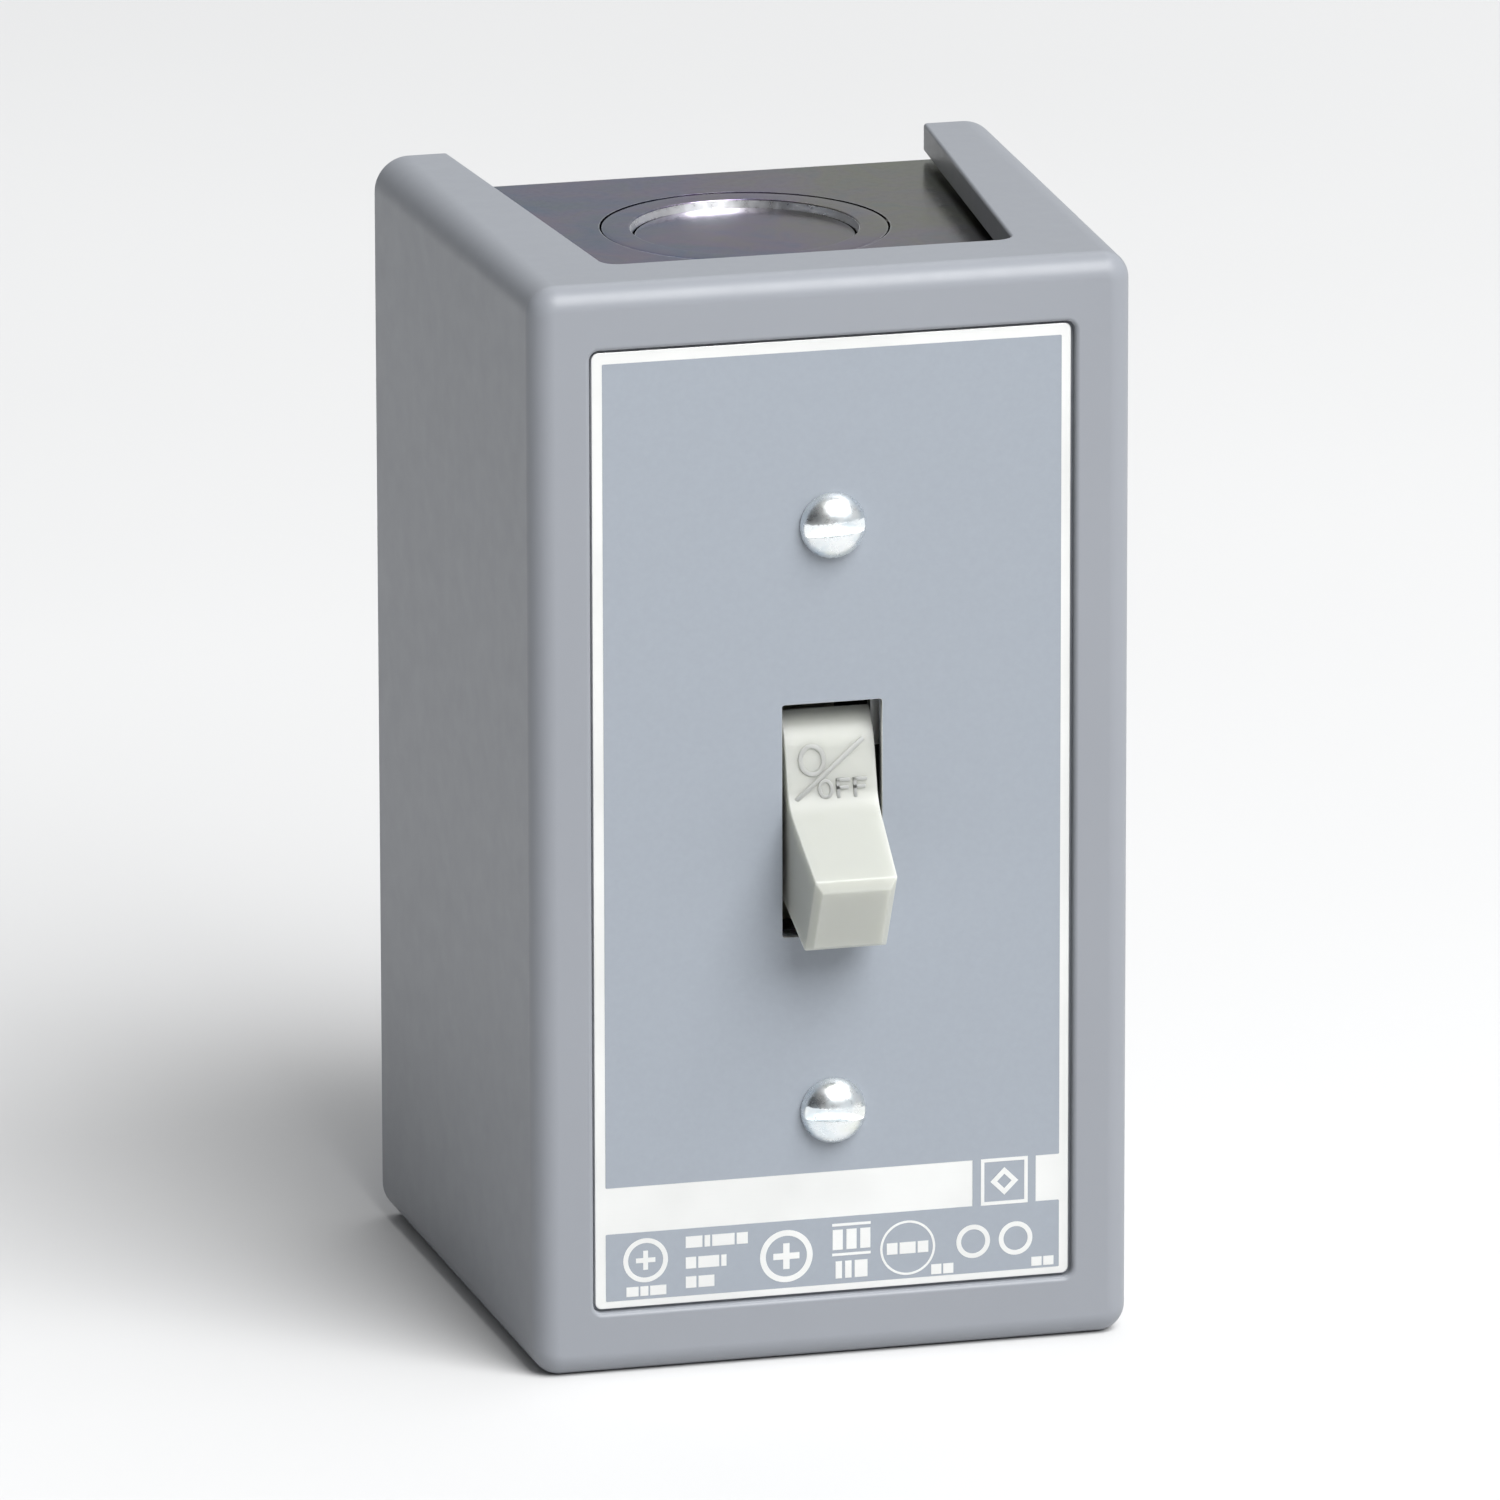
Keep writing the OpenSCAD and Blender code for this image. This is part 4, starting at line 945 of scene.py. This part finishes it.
def lathe(profile, steps=128):
    """A closed profile of (radius, height) turned about Z; radius 0 closes at the axis."""
    bm = bmesh.new()
    rings = []
    for radius, z in profile:
        if radius == 0:
            rings.append([bm.verts.new((0, 0, z))] * steps)
        else:
            rings.append([bm.verts.new((x, y, z)) for x, y in circle(0, 0, radius, steps)])
    pairs = list(zip(rings, rings[1:]))
    if profile[0][0] and profile[-1][0]:
        pairs.append((rings[-1], rings[0]))
    for row, following in pairs:
        for i in range(steps):
            j = (i + 1) % steps
            corners = list(dict.fromkeys((row[i], row[j], following[j], following[i])))
            if len(corners) > 2:
                bm.faces.new(corners)
    return bm


def ring_profile():
    """The ring's section: its inner edge drawn down by the punch, its outer edge sheared."""
    inner, outer, burr = KO_RING_IN_R + SHEAR_LEAN, KO_HOLE_R - KO_GAP, 0.10
    profile = [(KO_RING_IN_R + 0.1, -STEEL_T), (KO_RING_IN_R + 0.1, -KO_DROP), (inner, -0.16)]
    profile += arc(inner + 0.16, -0.16, 0.16, 180, 90, 4)
    profile += [((inner + outer) / 2, 0.0), (outer - 0.5, -0.02)]
    profile += arc(outer - burr, -burr - 0.05, burr, 80, 0, 4) + [(outer, -STEEL_T)]
    return profile


def shear_profile():
    """The bare band the punch left on the ring's inner wall."""
    low, high, skin = -KO_DROP - 0.1, -0.14, 0.03
    return [(KO_RING_IN_R, low), (KO_RING_IN_R + SHEAR_LEAN - skin, high),
            (KO_RING_IN_R + SHEAR_LEAN + 0.02, high), (KO_RING_IN_R + 0.12, low)]


def disc_profile():
    """The disc's section: pressed in, a little crowned, its edge rounded by the punch."""
    outer, edge = KO_RING_IN_R - KO_GAP, 0.22
    profile = [(0, -KO_DROP + 0.06), (outer * 0.5, -KO_DROP + 0.045)]
    profile += [(outer * 0.85, -KO_DROP + 0.01)]
    profile += arc(outer - edge, -KO_DROP - edge, edge, 90, 0, 4)
    return profile + [(outer, -KO_DROP - STEEL_T), (0, -KO_DROP - STEEL_T)]


def build_knockout(name, nodes, profile, side, material):
    """A turned piece in the top end wall, or mirrored into the bottom one if side is -1."""
    bm = lathe(profile)
    bmesh.ops.transform(bm, matrix=Matrix.Translation((0, KO_Y, STEEL_TOP)), verts=bm.verts)
    if side < 0:
        bmesh.ops.scale(bm, vec=(1, 1, -1), verts=bm.verts)
    finish_mesh(name, bm, "enclosure", material, nodes, smooth_angle=50.0)


def build_ties():
    """The ties that hold each ring to its wall, along X, and each disc to its ring, along Y."""
    bm = bmesh.new()
    across = (-KO_TIE_W / 4, KO_TIE_W / 4)
    ring_span = (KO_HOLE_R - KO_GAP - 0.1, KO_HOLE_R + 0.1)
    disc_span = (KO_RING_IN_R - KO_GAP - 0.3, KO_RING_IN_R + 0.25)
    for end in (-1, 1):
        for side in (-1, 1):
            for span, drop in ((ring_span, 0.25), (disc_span, KO_DROP - 0.03)):
                reach = sorted(side * r for r in span)
                (x0, x1), (y0, y1) = (reach, across) if span is ring_span else (across, reach)
                block(x0, x1, KO_Y + y0, KO_Y + y1,
                      *sorted((end * (STEEL_TOP - STEEL_T + 0.02), end * (STEEL_TOP - drop))), bm)
    round_edges(bm, sharp, 0.08, 2)
    finish_mesh("knockout_ties", bm, "enclosure", chromate_steel)


# ------------------------------------------------------------------ contact springs

SPRING_WIRE_R = 0.35
SPRING_TURNS = 5
COIL_SIDES = 12
COIL_STEPS = 32
CLOSED_PITCH = 0.76


def coil_height(turn, rise):
    """Height along a spring whose first and last turns lie closed on each other."""
    open_pitch = (rise - 2 * CLOSED_PITCH) / (SPRING_TURNS - 2)
    if turn <= 1:
        return CLOSED_PITCH * turn
    if turn <= SPRING_TURNS - 1:
        return CLOSED_PITCH + open_pitch * (turn - 1)
    return rise - CLOSED_PITCH * (SPRING_TURNS - turn)


def build_contact_spring(pole):
    """The pressure spring over one bridge, built at one fixed length; it moves with the carrier and is not
    shortened as the bridge lifts in its window.
    """
    node = f"contact_spring_{pole}"
    low, high = box_mm(node)
    middle = (low + high) / 2
    coil_r = (high.y - low.y) / 2 - SPRING_WIRE_R
    rise = high.z - low.z - 2 * SPRING_WIRE_R
    rings = []
    for i in range(SPRING_TURNS * COIL_STEPS + 1):
        a = 2 * math.pi * i / COIL_STEPS
        centre = low.z + SPRING_WIRE_R + coil_height(i / COIL_STEPS, rise)
        rings.append([(middle.x + reach * math.cos(a), middle.y + reach * math.sin(a), z)
                      for reach, z in circle(coil_r, centre, SPRING_WIRE_R, COIL_SIDES)])
    piece = finish_mesh(f"pressure_spring_{pole}", loft(rings), "carrier",
                        spring_steel, [node], smooth_angle=50.0, weighted=False)
    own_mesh(piece)


# ------------------------------------------------------------------ carried CAD nodes

EDGE_BREAK = {"back_box": 0.14, "mounting_strap": 0.15,
              "front_housing": 0.25, "rear_housing": 0.25, "contact_carrier": 0.2,
              "strap_screws": 0.1, "housing_screws": 0.1, "terminal_screws": 0.1,
              "wire_clamps": 0.12, "ground_screw": 0.12}


def dress_cad_nodes():
    """Gives every carried CAD node its material, and the nodes listed in EDGE_BREAK broken edges."""
    slots = {row["node"]: row["material_slot"] for row in frame["record"]["subparts"]}
    for name, node in NODES.items():
        if node.hide_render:
            continue
        material = MATERIAL_OF_SLOT[slots[name]]
        node.data.materials.clear()
        node.data.materials.append(material)
        node.data.shade_smooth()
        node.data.set_sharp_from_angle(angle=math.radians(30))
        if name in EDGE_BREAK:
            flatten = node.modifiers.new("flat_faces", "DECIMATE")
            flatten.decimate_type = "DISSOLVE"
            flatten.angle_limit = math.radians(0.5)
            edges = node.modifiers.new("broken_edges", "BEVEL")
            edges.width = EDGE_BREAK[name] * MM
            edges.segments = 2
            edges.limit_method = "ANGLE"
            edges.angle_limit = math.radians(40)
            edges.harden_normals = True


# ------------------------------------------------------------------ stage, light and camera

VIEW_AZIMUTH = -14.47
VIEW_ELEVATION = 15.64
VIEW_ROLL = -0.11
VIEW_DISTANCE = 1638.2
VIEW_AIM_X, VIEW_AIM_Z = -8.6, 7.85
LENS = 397.57
SENSOR = 36.0
FLOOR_DROP = 0.02
FLOOR_HALF_M = 6.0
SKY_COLOUR = (0.96, 0.98, 1.0, 1.0)
SKY_TOWARDS = (0.80, 0.25, 0.55)
SKY_STRENGTH = 0.56

# Name, azimuth and elevation in degrees, distance in metres, sides in metres, power in watts.
LIGHTS = (("key", 24, 47, 3.0, (2.2, 2.2), 142.0),
          ("strip", 48, 58, 2.6, (2.4, 0.15), 11.0),
          ("back", 163, 52, 3.0, (2.4, 0.4), 10.0))


def outward(azimuth, elevation):
    """The direction from the object to a viewer or a light; azimuth 0 is straight in front."""
    a, e = math.radians(azimuth), math.radians(elevation)
    return Vector((math.sin(a) * math.cos(e), -math.cos(a) * math.cos(e), math.sin(e)))


def make_camera():
    """The photograph's point of view."""
    data = bpy.data.cameras.new("camera")
    data.lens = LENS
    data.sensor_width = SENSOR
    camera = bpy.data.objects.new("camera", data)
    bpy.context.scene.collection.objects.link(camera)
    back = outward(VIEW_AZIMUTH, VIEW_ELEVATION)
    aim = Vector((VIEW_AIM_X, FRONT_Y, VIEW_AIM_Z))
    camera.rotation_mode = "QUATERNION"
    turn = (-back).to_track_quat("-Z", "Y")
    roll = Matrix.Rotation(math.radians(VIEW_ROLL), 4, "Z").to_quaternion()
    camera.rotation_quaternion = turn @ roll
    camera.location = (aim + back * VIEW_DISTANCE) * MM
    data.clip_start, data.clip_end = 0.01, 50.0
    bpy.context.scene.camera = camera


def area_light(name, azimuth, elevation, distance, size, power):
    """A soft rectangular light aimed at the part's origin."""
    data = bpy.data.lights.new(name, "AREA")
    data.shape = "RECTANGLE"
    data.size, data.size_y = size
    data.energy = power
    light = bpy.data.objects.new(name, data)
    bpy.context.scene.collection.objects.link(light)
    back = outward(azimuth, elevation)
    light.location = back * distance
    light.rotation_mode = "QUATERNION"
    light.rotation_quaternion = (-back).to_track_quat("-Z", "Y")


def make_stage():
    """The pale floor under the object, the sky brighter from one side, and the lights."""
    mesh = bpy.data.meshes.new("floor")
    half, z = FLOOR_HALF_M, COVER_LOW.z * MM - FLOOR_DROP * MM
    mesh.from_pydata([(-half, -half, z), (half, -half, z), (half, half, z), (-half, half, z)],
                     [], [(0, 1, 2, 3)])
    floor = bpy.data.objects.new("floor", mesh)
    bpy.context.scene.collection.objects.link(floor)
    n = Nodes("floor_paper")
    n.set(Base_Color=n.ramp(n.noise(0.004, detail=2.0), [(0.3, (0.62, 0.62, 0.62)),
                                                         (0.7, (0.64, 0.64, 0.64))]),
          Roughness=0.9, Specular_IOR_Level=0.1)
    floor.data.materials.append(n.material)
    world = bpy.data.worlds.new("studio")
    world.use_nodes = True
    tree = world.node_tree
    background = tree.nodes["Background"]
    background.inputs["Color"].default_value = SKY_COLOUR
    direction = tree.nodes.new("ShaderNodeTexCoord").outputs["Generated"]
    towards = tree.nodes.new("ShaderNodeVectorMath")
    towards.operation = "DOT_PRODUCT"
    towards.inputs[1].default_value = SKY_TOWARDS
    tree.links.new(direction, towards.inputs[0])
    glow = tree.nodes.new("ShaderNodeMapRange")
    glow.interpolation_type = "SMOOTHSTEP"
    glow.inputs["From Min"].default_value = -1.0
    glow.inputs["From Max"].default_value = 1.0
    glow.inputs["To Min"].default_value = 0.0
    glow.inputs["To Max"].default_value = SKY_STRENGTH
    tree.links.new(towards.outputs["Value"], glow.inputs["Value"])
    tree.links.new(glow.outputs["Result"], background.inputs["Strength"])
    bpy.context.scene.world = world
    bpy.context.scene.view_settings.view_transform = "Standard"
    for light_row in LIGHTS:
        area_light(*light_row)


build_cover()
build_nameplate()
build_ink()
build_plate_marks()
build_handle()
build_toggle_marks()
build_screw("cover_screw_upper", 1, -3.5)
build_screw("cover_screw_lower", -1, 3.0)
for end_name, end_side in (("top", 1), ("bottom", -1)):
    build_knockout(f"ring_{end_name}", [f"knockout_ring_{end_name}"], ring_profile(), end_side,
                   chromate_steel)
    build_knockout(f"ring_wall_{end_name}", [], shear_profile(), end_side, sheared_zinc)
    build_knockout(f"disc_{end_name}", [f"knockout_disc_{end_name}"], disc_profile(), end_side,
                   chromate_steel)
build_ties()
for pole_number in (1, 2, 3):
    build_contact_spring(pole_number)
dress_cad_nodes()
make_camera()
make_stage()
